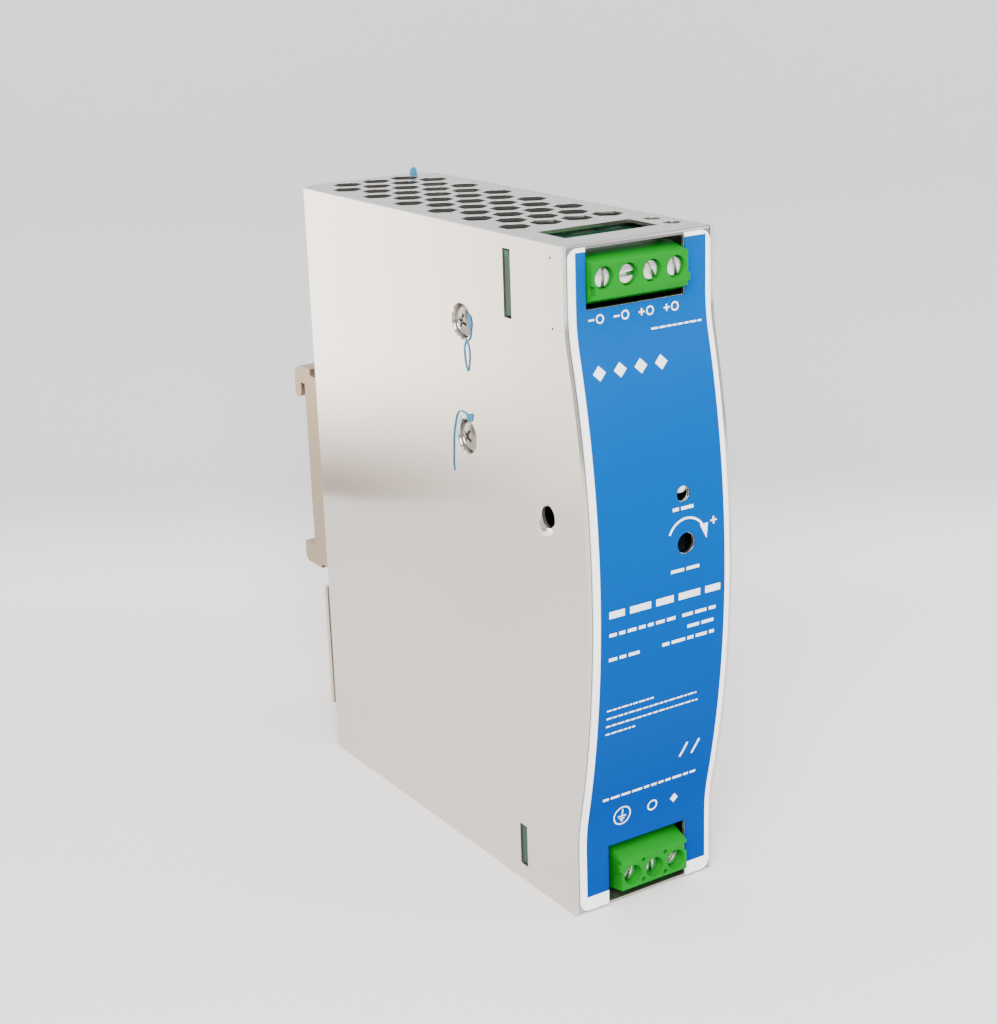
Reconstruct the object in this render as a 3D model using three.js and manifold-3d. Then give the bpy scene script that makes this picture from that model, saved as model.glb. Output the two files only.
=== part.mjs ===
// A slim power supply for a 35 mm top-hat rail: a folded sheet case 32 mm wide with a bulged front,
// screw terminals in its top and bottom front notches, and a spring latch on its back.
// Millimetres. X is right seen from the front, Y runs from the front to the back, Z is up.
// The pieces are placed from the front's flat stretches (y = 0) and the case's foot (z = 0), and the
// outer group then moves them so that the origin is at the centre of the bounding box's base.
import * as THREE from "three";
import { mergeVertices } from "three/addons/utils/BufferGeometryUtils.js";
import Module from "manifold-3d";

const wasm = await Module();
wasm.setup();

// ---- driving dimensions ----
const caseWidth = 32;
const caseHeight = 125.2;
const caseDepth = 102; // from the front's bulge to the rear sheet
const bulge = 5.7; // how far the middle of the front stands forward
const bulgeRadius = 195;
const bulgeHalfHeight = 50.9;
const bulgeMiddle = 63.4;
const sheet = 0.7; // thickness of the case's steel sheet
const seam = 0.1; // gap between the two case shells
const chamferX = 4; // legs of the cut along the case's rear upright edges
const chamferY = 3.4;
const foldEnd = 1.6; // where the front sheet ends in the top and the bottom
const rearY = caseDepth - bulge;
const halfWidth = caseWidth / 2;
const innerHalf = halfWidth - sheet;
const bandHalf = innerHalf - seam;
const labelThick = 0.25;

const pitch = 5.08; // from one terminal to the next
const blockDepth = 17.3;
const blockProud = 1.5; // how far a terminal block stands in front of the flat stretches
const outputX = -0.9;
const outputZ = 119.3; // height of the output terminals' screw axes
const inputX = 1.15;
const inputZ = 5.5;
const outputNotch = { left: -11.5, right: 9.45, low: 114, high: 124.4 };
const inputNotch = { left: -8.6, right: 9.35, low: 0.8, high: 12.4 };
const wireWindow = { front: 6.9, back: 15.8 };
const outputWindow = { left: -10.6, right: 9.4 };
const inputWindow = { left: -7.6, right: 9.2 };

const lamp = { x: 5.2, z: 79.6, hole: 1.4 };
const lampShift = { x: 0.9, z: 0.85 }; // the lamp sits to one side of its hole
const trimmer = { x: 5.4, z: 70.5, hole: 1.9 };
const sideScrews = [
  { name: "side_screw_upper", y: 32.8, z: 107.4 },
  { name: "side_screw_lower", y: 32.4, z: 85.7 },
];
const openHole = { y: 7.4, z: 76.2, radius: 2.05 }; // countersunk hole in the left side
const pinpricks = [
  { y: 3.7, z: 123 },
  { y: 3.4, z: 110.9 },
];
const terminalBoard = { front: 16.4, back: 18 };
const boardSlots = [
  { low: 110.5, high: 122.8 },
  { low: 3.3, high: 11.9 },
];

const bracketHalf = 12;
const railSeat = 106.3; // the plane that the rail's flanges lie against
const railTop = 80.7; // where the upper edge of a 35 mm rail stops in the hook
const railHeight = 35;
const latchPlate = { front: 101.9, back: 103.1 };
const bracketPillars = [56.5, 78.5];
const pillarRadius = 3.2;
const hookBack = 110.9;
const footBack = 111;

const board = { front: 19.2, back: 92.4, left: 12.4, right: 14 };

// ---- geometry helpers ----
function solid(geometry) {
  geometry.deleteAttribute("normal");
  geometry.deleteAttribute("uv");
  const merged = mergeVertices(geometry, 1e-5);
  return new wasm.Manifold(
    new wasm.Mesh({
      numProp: 3,
      vertProperties: new Float32Array(merged.attributes.position.array),
      triVerts: new Uint32Array(merged.index.array),
    }),
  );
}

function mesh(name, shape, material) {
  const { numProp, numVert, vertProperties, triVerts } = shape.getMesh();
  const positions = new Float32Array(numVert * 3);
  for (let i = 0; i < numVert; i++) {
    positions.set(vertProperties.subarray(i * numProp, i * numProp + 3), i * 3);
  }
  const geometry = new THREE.BufferGeometry()
    .setAttribute("position", new THREE.BufferAttribute(positions, 3))
    .setIndex(new THREE.BufferAttribute(triVerts, 1));
  geometry.computeVertexNormals();
  const made = new THREE.Mesh(geometry, material);
  made.name = name;
  return made;
}

function box([x0, y0, z0], [x1, y1, z1]) {
  const geometry = new THREE.BoxGeometry(x1 - x0, y1 - y0, z1 - z0);
  return solid(geometry.translate((x0 + x1) / 2, (y0 + y1) / 2, (z0 + z1) / 2));
}

const axisBasis = {
  x: [new THREE.Vector3(0, 1, 0), new THREE.Vector3(0, 0, 1), new THREE.Vector3(1, 0, 0)],
  y: [new THREE.Vector3(0, 0, 1), new THREE.Vector3(1, 0, 0), new THREE.Vector3(0, 1, 0)],
  z: [new THREE.Vector3(1, 0, 0), new THREE.Vector3(0, 1, 0), new THREE.Vector3(0, 0, 1)],
};

// An outline pushed along an axis. Its points are (y, z) for x, (z, x) for y and (x, y) for z.
function prism(axis, outline, from, to) {
  const shape = new THREE.Shape(outline.map(([a, b]) => new THREE.Vector2(a, b)));
  const geometry = new THREE.ExtrudeGeometry(shape, { depth: to - from, bevelEnabled: false });
  geometry.translate(0, 0, from);
  return solid(geometry.applyMatrix4(new THREE.Matrix4().makeBasis(...axisBasis[axis])));
}

function circle(radius, a = 0, b = 0, sides = 20) {
  return Array.from({ length: sides }, (_, i) => {
    const angle = ((i + 0.5) / sides) * Math.PI * 2;
    return [a + radius * Math.cos(angle), b + radius * Math.sin(angle)];
  });
}

function rod(axis, radius, from, to, a, b, sides = 20) {
  return prism(axis, circle(radius, a, b, sides), from, to);
}

// A turned piece about an axis through the origin: its profile is [radius, place along the axis].
function turned(axis, profile, sides = 20) {
  const points = profile.map(([r, along]) => new THREE.Vector2(r, along));
  const geometry = new THREE.LatheGeometry(points, sides);
  if (axis === "x") geometry.rotateZ(-Math.PI / 2);
  if (axis === "z") geometry.rotateX(Math.PI / 2);
  return solid(geometry);
}

const join = (first, ...others) => others.reduce((sum, next) => sum.add(next), first);
const cut = (first, ...others) => others.reduce((rest, next) => rest.subtract(next), first);

// ---- materials ----
const finish = (color, roughness, metalness = 0) =>
  new THREE.MeshStandardMaterial({ color, roughness, metalness });
const plated = finish(0xd2cdc7, 0.42, 0.85);
const clipMetal = finish(0xc6b7a4, 0.45, 0.8);
const nickel = finish(0xd8d6d0, 0.3, 1);
const printed = finish(0x1c82d8, 0.4);
const blockPlastic = finish(0x3ab84b, 0.5);
const laminate = finish(0x1f5c38, 0.55);
const tinned = finish(0xc9c9c4, 0.35, 1);
const blackPlastic = finish(0x1c1c1e, 0.5);
const whitePlastic = finish(0xe9e7e0, 0.5);
const lens = finish(0xdfe8dc, 0.2);
const ferrite = finish(0x3a3a3c, 0.6);
const tape = finish(0xe2c54a, 0.4);
const copper = finish(0xb8703a, 0.4, 0.9);
const aluminium = finish(0xb9bcc0, 0.4, 0.9);
const capSleeve = finish(0x26262c, 0.35);
const filmBox = finish(0x2b5fb0, 0.5);
const filmSheet = finish(0x232526, 0.5);

// ---- the front's profile ----
const bulgeAngle = 2 * Math.atan(bulge / bulgeHalfHeight);
const returnRadius = bulgeHalfHeight / Math.sin(bulgeAngle) - bulgeRadius;

function frontY(z) {
  const d = Math.abs(z - bulgeMiddle);
  if (d >= bulgeHalfHeight) return 0;
  if (d <= bulgeRadius * Math.sin(bulgeAngle)) {
    return -bulge + bulgeRadius - Math.sqrt(bulgeRadius ** 2 - d ** 2);
  }
  return Math.sqrt(returnRadius ** 2 - (bulgeHalfHeight - d) ** 2) - returnRadius;
}

// Heights where the profile bends: the flats' ends, the hollow turns and the long crowned arc.
function bendHeights() {
  const crown = bulgeRadius * Math.sin(bulgeAngle);
  const turn = bulgeHalfHeight - crown;
  const offsets = [0, 1 / 3, 2 / 3].map((share) => bulgeHalfHeight - turn * share);
  for (let i = 0; i <= 14; i++) offsets.push(crown * (1 - i / 7));
  const mirrored = offsets.slice(0, 3).map((offset) => -offset).reverse();
  return [...offsets, ...mirrored].map((offset) => bulgeMiddle - offset);
}

// The profile from low to high, moved back by the given distance.
function frontLine(back, low, high) {
  const inside = bendHeights().filter((z) => z > low && z < high);
  return [low, ...inside, high].map((z) => [frontY(z) + back, z]);
}

// ---- the case ----
// Plan outline of the case, moved inwards: open sides forward of the front, cut rear corners.
function planOutline(inset) {
  const slant = Math.hypot(chamferX, chamferY);
  const lost = chamferX * chamferY + inset * slant;
  const side = halfWidth - inset;
  const sideEnd = rearY + (chamferY * inset - lost) / chamferX;
  const rearEnd = halfWidth + (chamferX * inset - lost) / chamferY;
  const right = [
    [side, -20],
    [side, sideEnd],
    [rearEnd, rearY - inset],
  ];
  return [...right, ...right.map(([x, y]) => [-x, y]).reverse()];
}

// Small tabs of the top sheet that key into the sides' upper edges.
function keyTabs(grow) {
  return [-1, 1].map((side) => {
    const reach = [side * (bandHalf - 1), side * (halfWidth - 0.15 + grow)].sort((a, b) => a - b);
    const low = caseHeight - sheet - grow;
    return box([reach[0], 13.9 - grow, low], [reach[1], 15.1 + grow, caseHeight + grow]);
  });
}

function dimple(mouth, floor, depth, y, z) {
  const cone = turned(
    "x",
    [
      [0, -0.5],
      [mouth + 0.25, -0.5],
      [mouth + 0.25, 0],
      [mouth, 0],
      [floor, depth],
      [0, depth],
    ],
    40,
  );
  return cone.translate(-halfWidth, y, z);
}

function dimpleBack(mouth, floor, depth, y, z) {
  const cup = turned(
    "x",
    [
      [0, sheet / 2],
      [mouth + sheet, sheet / 2],
      [mouth + sheet, sheet],
      [floor + sheet, depth + sheet],
      [0, depth + sheet],
    ],
    40,
  );
  return cup.translate(-halfWidth, y, z);
}

// Left side, rear and right side, folded from one sheet.
function caseWrap() {
  const walls = cut(
    prism("z", planOutline(0), 0, caseHeight),
    prism("z", planOutline(sheet), -1, caseHeight + 1),
  );
  const behindFront = [...frontLine(0, 0, caseHeight), [rearY + 5, caseHeight], [rearY + 5, 0]];
  let shell = walls.intersect(prism("x", behindFront, -halfWidth - 1, halfWidth + 1));
  shell = cut(shell, ...keyTabs(0.1));
  for (const { y, z } of sideScrews) {
    shell = join(shell, dimpleBack(3.4, 3, 1.3, y, z));
    shell = cut(shell, dimple(3.4, 3, 1.3, y, z), rod("x", 1.7, -halfWidth, -12, y, z));
  }
  const { y, z, radius } = openHole;
  shell = join(shell, dimpleBack(3.6, radius, 0.85, y, z));
  shell = cut(shell, dimple(3.6, radius, 0.85, y, z), rod("x", radius, -halfWidth, -12, y, z, 40));
  for (const { low, high } of boardSlots) {
    shell = cut(shell, box([-halfWidth - 1, 16, low], [-innerHalf + 1, 18.4, high]));
  }
  for (const pin of pinpricks) {
    shell = cut(shell, rod("x", 0.25, -halfWidth - 1, -innerHalf + 1, pin.y, pin.z, 8));
  }
  for (const height of bracketPillars) {
    shell = cut(shell, rod("y", 1.7, rearY - 3, rearY + 3, height, 0));
  }
  return mesh("case_wrap", shell, plated);
}

// Staggered six-sided vent holes that run through the top and the bottom sheet alike.
function ventHoles() {
  const columns = 7;
  const columnStep = 3.37;
  const rowStep = 6.15;
  const firstRow = 23.2;
  const across = 2.7; // half the distance between two flat sides
  const holes = [];
  for (let row = 0; row < 12; row++) {
    for (let column = row % 2; column < columns; column += 2) {
      const x = (column - (columns - 1) / 2) * columnStep;
      const y = firstRow + row * rowStep;
      const corners = Array.from({ length: 6 }, (_, i) => {
        const angle = ((i + 0.5) / 6) * Math.PI * 2;
        const radius = across / Math.cos(Math.PI / 6);
        return [x + radius * Math.cos(angle), y + radius * Math.sin(angle)];
      });
      holes.push(prism("z", corners, -1, caseHeight + 1));
    }
  }
  return holes;
}

// Curved front, top and bottom: they lie in one folded line and meet edge to edge behind the folds.
function foldedSheets() {
  const bend = 0.8; // outer radius where the front turns into the top and the bottom
  const rear = rearY - sheet - seam;
  const corner = (z, up) =>
    [0, 0.5, 1].map((share) => {
      const angle = (share * Math.PI) / 2;
      return [bend * (1 - Math.sin(angle)), z + up * bend * (1 - Math.cos(angle))];
    });
  const outer = [
    [rear, 0],
    ...corner(0, 1),
    ...frontLine(0, bend, caseHeight - bend).slice(1, -1),
    ...corner(caseHeight, -1).reverse(),
    [rear, caseHeight],
  ];
  const inner = [
    ...frontLine(sheet, sheet, caseHeight - sheet),
    [rear + 1, caseHeight - sheet],
    [rear + 1, sheet],
  ];
  let shell = cut(
    prism("x", outer, -bandHalf, bandHalf),
    prism("x", inner, -bandHalf - 1, bandHalf + 1),
  );
  shell = shell.intersect(prism("z", planOutline(sheet + seam), -1, caseHeight + 1));
  shell = join(shell, ...keyTabs(0));
  shell = cut(
    shell,
    ...ventHoles(),
    box([outputNotch.left, -9, outputNotch.low], [outputNotch.right, 3, outputNotch.high]),
    box([inputNotch.left, -9, inputNotch.low], [inputNotch.right, 3, inputNotch.high]),
    box([outputWindow.left, wireWindow.front, 120], [outputWindow.right, wireWindow.back, 130]),
    box([inputWindow.left, wireWindow.front, -5], [inputWindow.right, wireWindow.back, 5]),
    rod("y", lamp.hole, -9, 3, lamp.z, lamp.x),
    rod("y", trimmer.hole, -9, 3, trimmer.z, trimmer.x, 24),
  );
  for (const holeY of [7.5, 13.3]) {
    shell = cut(shell, rod("z", 1.6, -1, caseHeight + 1, 12.75, holeY));
  }
  const [behind, front] = shell.splitByPlane([0, 1, 0], foldEnd);
  const [top, bottom] = behind.splitByPlane([0, 0, 1], caseHeight / 2);
  return [
    mesh("front_sheet", front, plated),
    mesh("top_sheet", top, plated),
    mesh("bottom_sheet", bottom, plated),
  ];
}

// The printed film on the front: rounded outer corners, and openings a little wider than the sheet's.
function frontLabel() {
  const left = -bandHalf + 0.1;
  const right = bandHalf - 0.1;
  const low = 0.6;
  const high = caseHeight - 0.5;
  const round = 2;
  const face = new THREE.Shape();
  face.moveTo(low, inputNotch.right + 0.1);
  face.lineTo(low, right - round);
  face.absarc(low + round, right - round, round, Math.PI, Math.PI / 2, true);
  face.lineTo(high - round, right);
  face.absarc(high - round, right - round, round, Math.PI / 2, 0, true);
  face.lineTo(high, outputNotch.right + 0.1);
  face.lineTo(outputNotch.low - 0.1, outputNotch.right + 0.1);
  face.lineTo(outputNotch.low - 0.1, outputNotch.left - 0.1);
  face.lineTo(high, outputNotch.left - 0.1);
  face.lineTo(high, left + round);
  face.absarc(high - round, left + round, round, 0, -Math.PI / 2, true);
  face.lineTo(low + round, left);
  face.absarc(low + round, left + round, round, -Math.PI / 2, -Math.PI, true);
  face.lineTo(low, inputNotch.left - 0.1);
  face.lineTo(inputNotch.high + 0.1, inputNotch.left - 0.1);
  face.lineTo(inputNotch.high + 0.1, inputNotch.right + 0.1);
  const outline = face.getPoints(3).map((p) => [p.x, p.y]);
  const strip = [
    ...frontLine(-labelThick - 0.02, 0, caseHeight),
    ...frontLine(-0.02, 0, caseHeight).reverse(),
  ];
  const film = cut(
    prism("y", outline, -12, 4).intersect(prism("x", strip, -halfWidth, halfWidth)),
    rod("y", lamp.hole + 0.1, -9, 3, lamp.z, lamp.x),
    rod("y", trimmer.hole + 0.1, -9, 3, trimmer.z, trimmer.x, 24),
  );
  return mesh("front_label", film, printed);
}

// ---- terminal blocks ----
// Local frame: the origin is on the front face at the middle of the row, on the screws' axes.
// Local y runs into the block and local z towards the side where the wires enter.
const screwHeads = {
  output: { front: 0.6, back: 2.4 },
  input: { front: 1.5, back: 2.6 },
};
const headRadius = 1.75;
const cage = { half: 1.95, front: 5.5, frontWall: 1.2, back: 14.2, backWall: 1, tall: 2.6 };
const contactBar = { front: 9.4, back: 10.4 };

function blockHousing(ways, head) {
  const half = (ways * pitch) / 2;
  const section = [
    [0, -3.5],
    [4, -5],
    [blockDepth, -5],
    [blockDepth, 3.75],
    [5.2, 3.75],
    [0, 2.6],
  ];
  let body = prism("x", section, -half, half);
  body = join(body, box([half - 0.2, 0, -2.6], [half + 0.45, 1, -1.4]));
  body = cut(body, box([-half - 1, -1, -2.7], [-half + 0.55, 1.1, -1.3]));
  for (const x of stationPlaces(ways)) {
    body = cut(
      body,
      rod("y", 1.95, -1, head.back + 0.1, 0, x),
      rod("y", 1.6, -1, 3.2, 0, x, 16),
      box([x - 2.1, 2.95, -2.9], [x + 2.1, 14.6, 2.9]),
      box([x - 1.5, contactBar.back + 0.2, 0], [x + 1.5, cage.back - cage.backWall, 5]),
      box([x - 1.5, contactBar.front - 0.2, -4.5], [x + 1.5, blockDepth + 1, -2]),
    );
  }
  for (let i = 0; i < ways - 1; i++) {
    const x = (i + 1) * pitch - half;
    body = cut(body, rod("y", 0.42, -1, 1.6, -2.45, x, 8), rod("y", 0.42, -1, 1.6, 1.7, x, 8));
  }
  return body;
}

function stationPlaces(ways) {
  return Array.from({ length: ways }, (_, i) => (i - (ways - 1) / 2) * pitch);
}

// A slotted screw that turns in the housing without moving along its axis.
function terminalScrew(name, slotAngle, { front, back }) {
  const profile = [
    [0, front],
    [headRadius - 0.25, front],
    [headRadius, front + 0.25],
    [headRadius, back],
    [1.4, back],
    [1.4, 8.4],
    [1, 8.9],
    [0, 8.9],
  ];
  const slot = box([-0.3, front - 1, -headRadius - 1], [0.3, front + 0.75, headRadius + 1]);
  const turnedSlot = slot.rotate([0, slotAngle, 0]);
  return mesh(name, turned("y", profile, 18).subtract(turnedSlot), nickel);
}

// The rising cage: a ring round the contact bar, whose threaded front wall rides on the screw.
function clampCage(name) {
  const { half, front, frontWall, back, backWall, tall } = cage;
  const ring = cut(
    box([-half, front, -tall], [half, back, tall]),
    box([-half + 0.5, front + frontWall, -tall - 1], [half - 0.5, back - backWall, tall + 1]),
    rod("y", 1.5, front - 1, front + frontWall + 0.2, 0, 0, 16),
  );
  return mesh(name, ring, tinned);
}

// The fixed bar that the wire is drawn against, with its tail and solder pin.
function contactPin(name) {
  const shape = join(
    box([-1.3, contactBar.front, -4.3], [1.3, contactBar.back, 2.6]),
    box([-1.3, contactBar.front, -4.3], [1.3, blockDepth - 0.2, -3.5]),
    box([-0.5, blockDepth - 1, -4.3], [0.5, blockDepth + 3, -3.5]),
  );
  return mesh(name, shape, tinned);
}

function terminalBlock(prefix, ways, slotAngles) {
  const block = new THREE.Group();
  const head = screwHeads[prefix];
  block.add(mesh(prefix + "_terminal_housing", blockHousing(ways, head), blockPlastic));
  stationPlaces(ways).forEach((x, i) => {
    const station = new THREE.Group();
    station.position.x = x;
    station.add(terminalScrew(`${prefix}_screw_${i + 1}`, slotAngles[i], head));
    station.add(clampCage(`${prefix}_clamp_${i + 1}`));
    station.add(contactPin(`${prefix}_contact_${i + 1}`));
    block.add(station);
  });
  block.position.y = -blockProud;
  return block;
}

// ---- circuit boards ----
function pinHoles(ways, centre, z, side) {
  return stationPlaces(ways).map((x) =>
    rod("y", 0.75, terminalBoard.front - 1, terminalBoard.back + 1, z, centre + side * x, 12),
  );
}

// The small upright board behind each block; its end shows in a slot of the left side.
function terminalCard(name, low, high, slot, holes) {
  const { front, back } = terminalBoard;
  const plate = join(
    box([-innerHalf + 0.3, front, low], [board.left - 0.3, back, high]),
    box([-halfWidth + 0.2, front, slot.low + 0.4], [-innerHalf + 1, back, slot.high - 0.4]),
  );
  return mesh(name, cut(plate, ...holes), laminate);
}

function mainBoard() {
  const plate = join(
    box([board.left, board.front, 1.4], [board.right, board.back, 123.9]),
    box([board.left, frontY(75) + 2.4, 58], [board.right, board.front + 1, 90]),
  );
  return mesh("main_board", plate, laminate);
}

function insulatingSheet() {
  return mesh("insulating_sheet", box([14.4, 1.5, 2.5], [14.7, 92, 122.5]), filmSheet);
}

// ---- front indicators ----
function indicatorLamp() {
  const tip = frontY(lamp.z) + sheet + 0.25;
  const dome = Array.from({ length: 5 }, (_, i) => {
    const angle = (i / 4) * (Math.PI / 2);
    return [1.45 * Math.sin(angle), tip + 1.45 * (1 - Math.cos(angle))];
  });
  const profile = [...dome, [1.45, tip + 4.2], [1.9, tip + 4.2], [1.9, tip + 5.2], [0, tip + 5.2]];
  const x = lamp.x + lampShift.x;
  const middle = lamp.z + lampShift.z;
  const bulb = turned("y", profile, 20).translate(x, 0, middle);
  const legs = [middle - 1.27, middle + 1.27].map((z) =>
    join(
      box([x - 0.25, tip + 5, z - 0.25], [x + 0.25, tip + 7, z + 0.25]),
      box([x - 0.25, tip + 6.5, z - 0.25], [board.left - 0.1, tip + 7, z + 0.25]),
    ),
  );
  return mesh("indicator_lamp", join(bulb, ...legs), lens);
}

const trimmerFace = -1.9;

function trimmerBody() {
  const { x, z } = trimmer;
  const block = cut(
    box([x - 3.3, trimmerFace + 0.6, z - 3.3], [x + 3.3, trimmerFace + 5.4, z + 3.3]),
    rod("y", 1.85, trimmerFace - 1, trimmerFace + 3.2, z, x, 24),
  );
  const legs = [-2.5, 2.5].map((dz) =>
    box([x + 3, trimmerFace + 2.6, z + dz - 0.3], [board.left - 0.1, trimmerFace + 3.1, z + dz + 0.3]),
  );
  return mesh("trimmer_body", join(block, ...legs), filmBox);
}

function trimmerRotor() {
  const profile = [
    [0, trimmerFace],
    [1.5, trimmerFace],
    [1.7, trimmerFace + 0.2],
    [1.7, trimmerFace + 3],
    [0, trimmerFace + 3],
  ];
  const slot = box([-2, trimmerFace - 1, -0.28], [2, trimmerFace + 0.7, 0.28]);
  const rotor = mesh(
    "trimmer_rotor",
    turned("y", profile, 24).subtract(slot),
    whitePlastic,
  );
  rotor.position.set(trimmer.x, 0, trimmer.z);
  return rotor;
}

// ---- screws in the left side ----
function crossRecess(depth) {
  return join(
    box([-1, -1.35, -0.3], [depth, 1.35, 0.3]),
    box([-1, -0.3, -1.35], [depth, 0.3, 1.35]),
  );
}

// Pan head in its pressed dimple, threaded into the heat spreader behind the side.
function sideScrew({ name, y, z }) {
  const profile = [
    [0, 0],
    [1.7, 0.05],
    [2.5, 0.4],
    [2.75, 0.9],
    [2.75, 1.25],
    [1.45, 1.25],
    [1.45, 5.6],
    [0, 5.6],
  ];
  const screw = mesh(name, turned("x", profile, 24).subtract(crossRecess(0.9)), nickel);
  screw.position.set(-halfWidth, y, z);
  return screw;
}

const spreader = { left: -13.6, right: -10.6, front: 22, back: 44, low: 76, high: 117 };

function heatSpreader() {
  const { left, right, front, back, low, high } = spreader;
  let plate = box([left, front, low], [right, back, high]);
  for (const { y, z } of sideScrews) plate = cut(plate, rod("x", 1.5, -20, 0, y, z, 16));
  return mesh("heat_spreader", plate, aluminium);
}

// A flat power package against the heat spreader, clear of the side screws' tips.
function powerPackage(name, y, z) {
  const x = spreader.right + 0.1;
  const body = join(
    box([x, y - 5, z - 8], [x + 1.3, y + 5, z + 7]),
    box([x, y - 5, z - 8], [x + 4.4, y + 5, z + 1]),
  );
  const legs = [-2.54, 0, 2.54].map((dy) =>
    box([x + 2.4, y + dy - 0.4, z - 11.5], [x + 3, y + dy + 0.4, z - 7]),
  );
  return mesh(name, join(body, ...legs), blackPlastic);
}

// ---- parts on the main board ----
const onBoard = board.left - 0.1;

function transformer() {
  const y = 60;
  const z = 74;
  const core = join(
    box([onBoard - 24, y - 14, z - 15], [onBoard - 2, y + 14, z - 9]),
    box([onBoard - 24, y - 14, z + 9], [onBoard - 2, y + 14, z + 15]),
    box([onBoard - 24, y - 3.5, z - 10], [onBoard - 2, y + 3.5, z + 10]),
  );
  const winding = cut(
    box([onBoard - 22, y - 11.5, z - 8.7], [onBoard, y + 11.5, z + 8.7]),
    box([onBoard - 30, y - 3.8, z - 10], [onBoard - 1.7, y + 3.8, z + 10]),
  );
  return [mesh("transformer_core", core, ferrite), mesh("transformer_winding", winding, tape)];
}

function ring(name, x, y, z, outer, inner, thick, material) {
  const profile = [
    [inner, -thick / 2],
    [outer, -thick / 2],
    [outer, thick / 2],
    [inner, thick / 2],
    [inner, -thick / 2],
  ];
  const made = mesh(name, turned("x", profile, 24), material);
  made.position.set(x, y, z);
  return made;
}

// An electrolytic capacitor standing on the board, its rubber end against it.
function canCapacitor(name, y, z, radius, length) {
  const profile = [
    [0, 0],
    [radius - 0.6, 0],
    [radius, 0.6],
    [radius, length - 0.5],
    [radius - 0.5, length],
    [0, length],
  ];
  const can = mesh(name, turned("x", profile, 24), capSleeve);
  can.position.set(onBoard - length, y, z);
  return can;
}

function boxPart(name, y, z, long, tall, high, material) {
  const shape = box([onBoard - high, y - long / 2, z - tall / 2], [onBoard, y + long / 2, z + tall / 2]);
  return mesh(name, shape, material);
}

function lineFuse() {
  const tube = rod("z", 2.6, 22, 42, onBoard - 5, 25, 16);
  const feet = [23.5, 40.5].map((z) => box([onBoard - 5, 24, z - 0.8], [onBoard, 26, z + 0.8]));
  return mesh("line_fuse", join(tube, ...feet), whitePlastic);
}

// ---- rail clip ----
// Side section of the clip's outer form: hook over the rail's upper flange, flat seat, lower foot.
function bracketSection() {
  const seat = latchPlate.back + 0.4;
  const slotBack = 108.1;
  const hookTop = 84.5;
  const lipEnd = 77.3;
  const arc = (y, z, radius, from, to) =>
    Array.from({ length: 5 }, (_, i) => {
      const angle = from + ((to - from) * i) / 4;
      return [y + radius * Math.cos(angle), z + radius * Math.sin(angle)];
    });
  return [
    [seat, 38.6],
    ...arc(footBack - 1.6, 38.6 + 1.6, 1.6, -Math.PI / 2, 0),
    [footBack, 43.3],
    [railSeat, 43.3],
    [railSeat, railTop],
    [slotBack, railTop],
    ...arc(slotBack + 1.3, lipEnd + 1.3, 1.3, Math.PI, Math.PI * 1.5),
    ...arc(hookBack - 1.2, lipEnd + 1.2, 1.2, -Math.PI / 2, 0),
    ...arc(hookBack - 3, hookTop - 3, 3, 0, Math.PI / 2),
    [seat, hookTop],
  ];
}

function railBracket() {
  const base = rearY + 0.05;
  const seat = latchPlate.back + 0.4;
  let body = prism("x", bracketSection(), -bracketHalf, bracketHalf);
  for (const side of [-1, 1]) {
    const reach = [side * 10, side * bracketHalf].sort((a, b) => a - b);
    body = join(body, box([reach[0], base, 39.5], [reach[1], seat + 0.5, 83]));
    const ledge = [side * 9, side * 10.5].sort((a, b) => a - b);
    body = join(body, box([ledge[0], latchPlate.front - 1.2, 50], [ledge[1], latchPlate.front - 0.3, 62]));
  }
  for (const z of bracketPillars) body = join(body, rod("y", pillarRadius, base, seat + 0.5, z, 0));
  body = cut(
    body,
    box([-5.3, seat - 1, 30], [5.3, footBack + 1, 48.5]),
    box([-2.8, seat - 1, 59.8], [2.8, railSeat + 1, 73]),
  );
  const sink = turned("y", [
    [0, railSeat - 1.9],
    [1.6, railSeat - 1.9],
    [3.1, railSeat + 0.1],
    [0, railSeat + 0.1],
  ]);
  for (const z of bracketPillars) {
    body = cut(body, rod("y", 1.65, base - 1, railSeat + 1, z, 0, 16), sink.translate(0, 0, z));
  }
  return mesh("rail_bracket", body, clipMetal);
}

function bracketScrew(name, z) {
  const profile = [
    [0, rearY - 4],
    [1.45, rearY - 4],
    [1.45, railSeat - 1.7],
    [2.85, railSeat - 0.1],
    [0, railSeat - 0.1],
  ];
  const recess = join(
    box([-1.2, railSeat - 1.1, -0.3], [1.2, railSeat + 1, 0.3]),
    box([-0.3, railSeat - 1.1, -1.2], [0.3, railSeat + 1, 1.2]),
  );
  const screw = mesh(name, turned("y", profile, 20).subtract(recess), nickel);
  screw.position.z = z;
  return screw;
}

function rearNut(name, z) {
  const back = rearY - sheet - 0.1;
  const nut = prism("y", circle(3.1, 0, 0, 6), back - 2.4, back);
  const made = mesh(name, nut.subtract(rod("y", 1.5, back - 4, back + 1, 0, 0, 16)), nickel);
  made.position.z = z;
  return made;
}

// Sliding plate: catch under the rail's lower flange, window round the lower pillar, long pull tail.
const latchWindow = { low: 53, high: 71.3 };

function railLatch() {
  const { front, back } = latchPlate;
  const grip = railTop - railHeight - 0.4;
  const catchSection = [
    [back - 0.6, grip - 4.7],
    [107.3, grip - 4.7],
    [110, grip - 2.1],
    [110, grip + 1.6],
    [108.3, grip + 1.6],
    [108.3, grip],
    [back - 0.6, grip],
  ];
  const plate = cut(
    join(
      box([-bracketHalf, front, 6.2], [bracketHalf, back, 34.5]),
      box([-9.7, front, 33], [9.7, back, 74.4]),
      prism("x", catchSection, -5, 5),
    ),
    box([-3.6, front - 1, latchWindow.low], [3.6, back + 1, latchWindow.high]),
    box([-4, front - 1, 9.5], [4, back + 1, 13]),
  );
  return mesh("rail_latch", plate, nickel);
}

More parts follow.
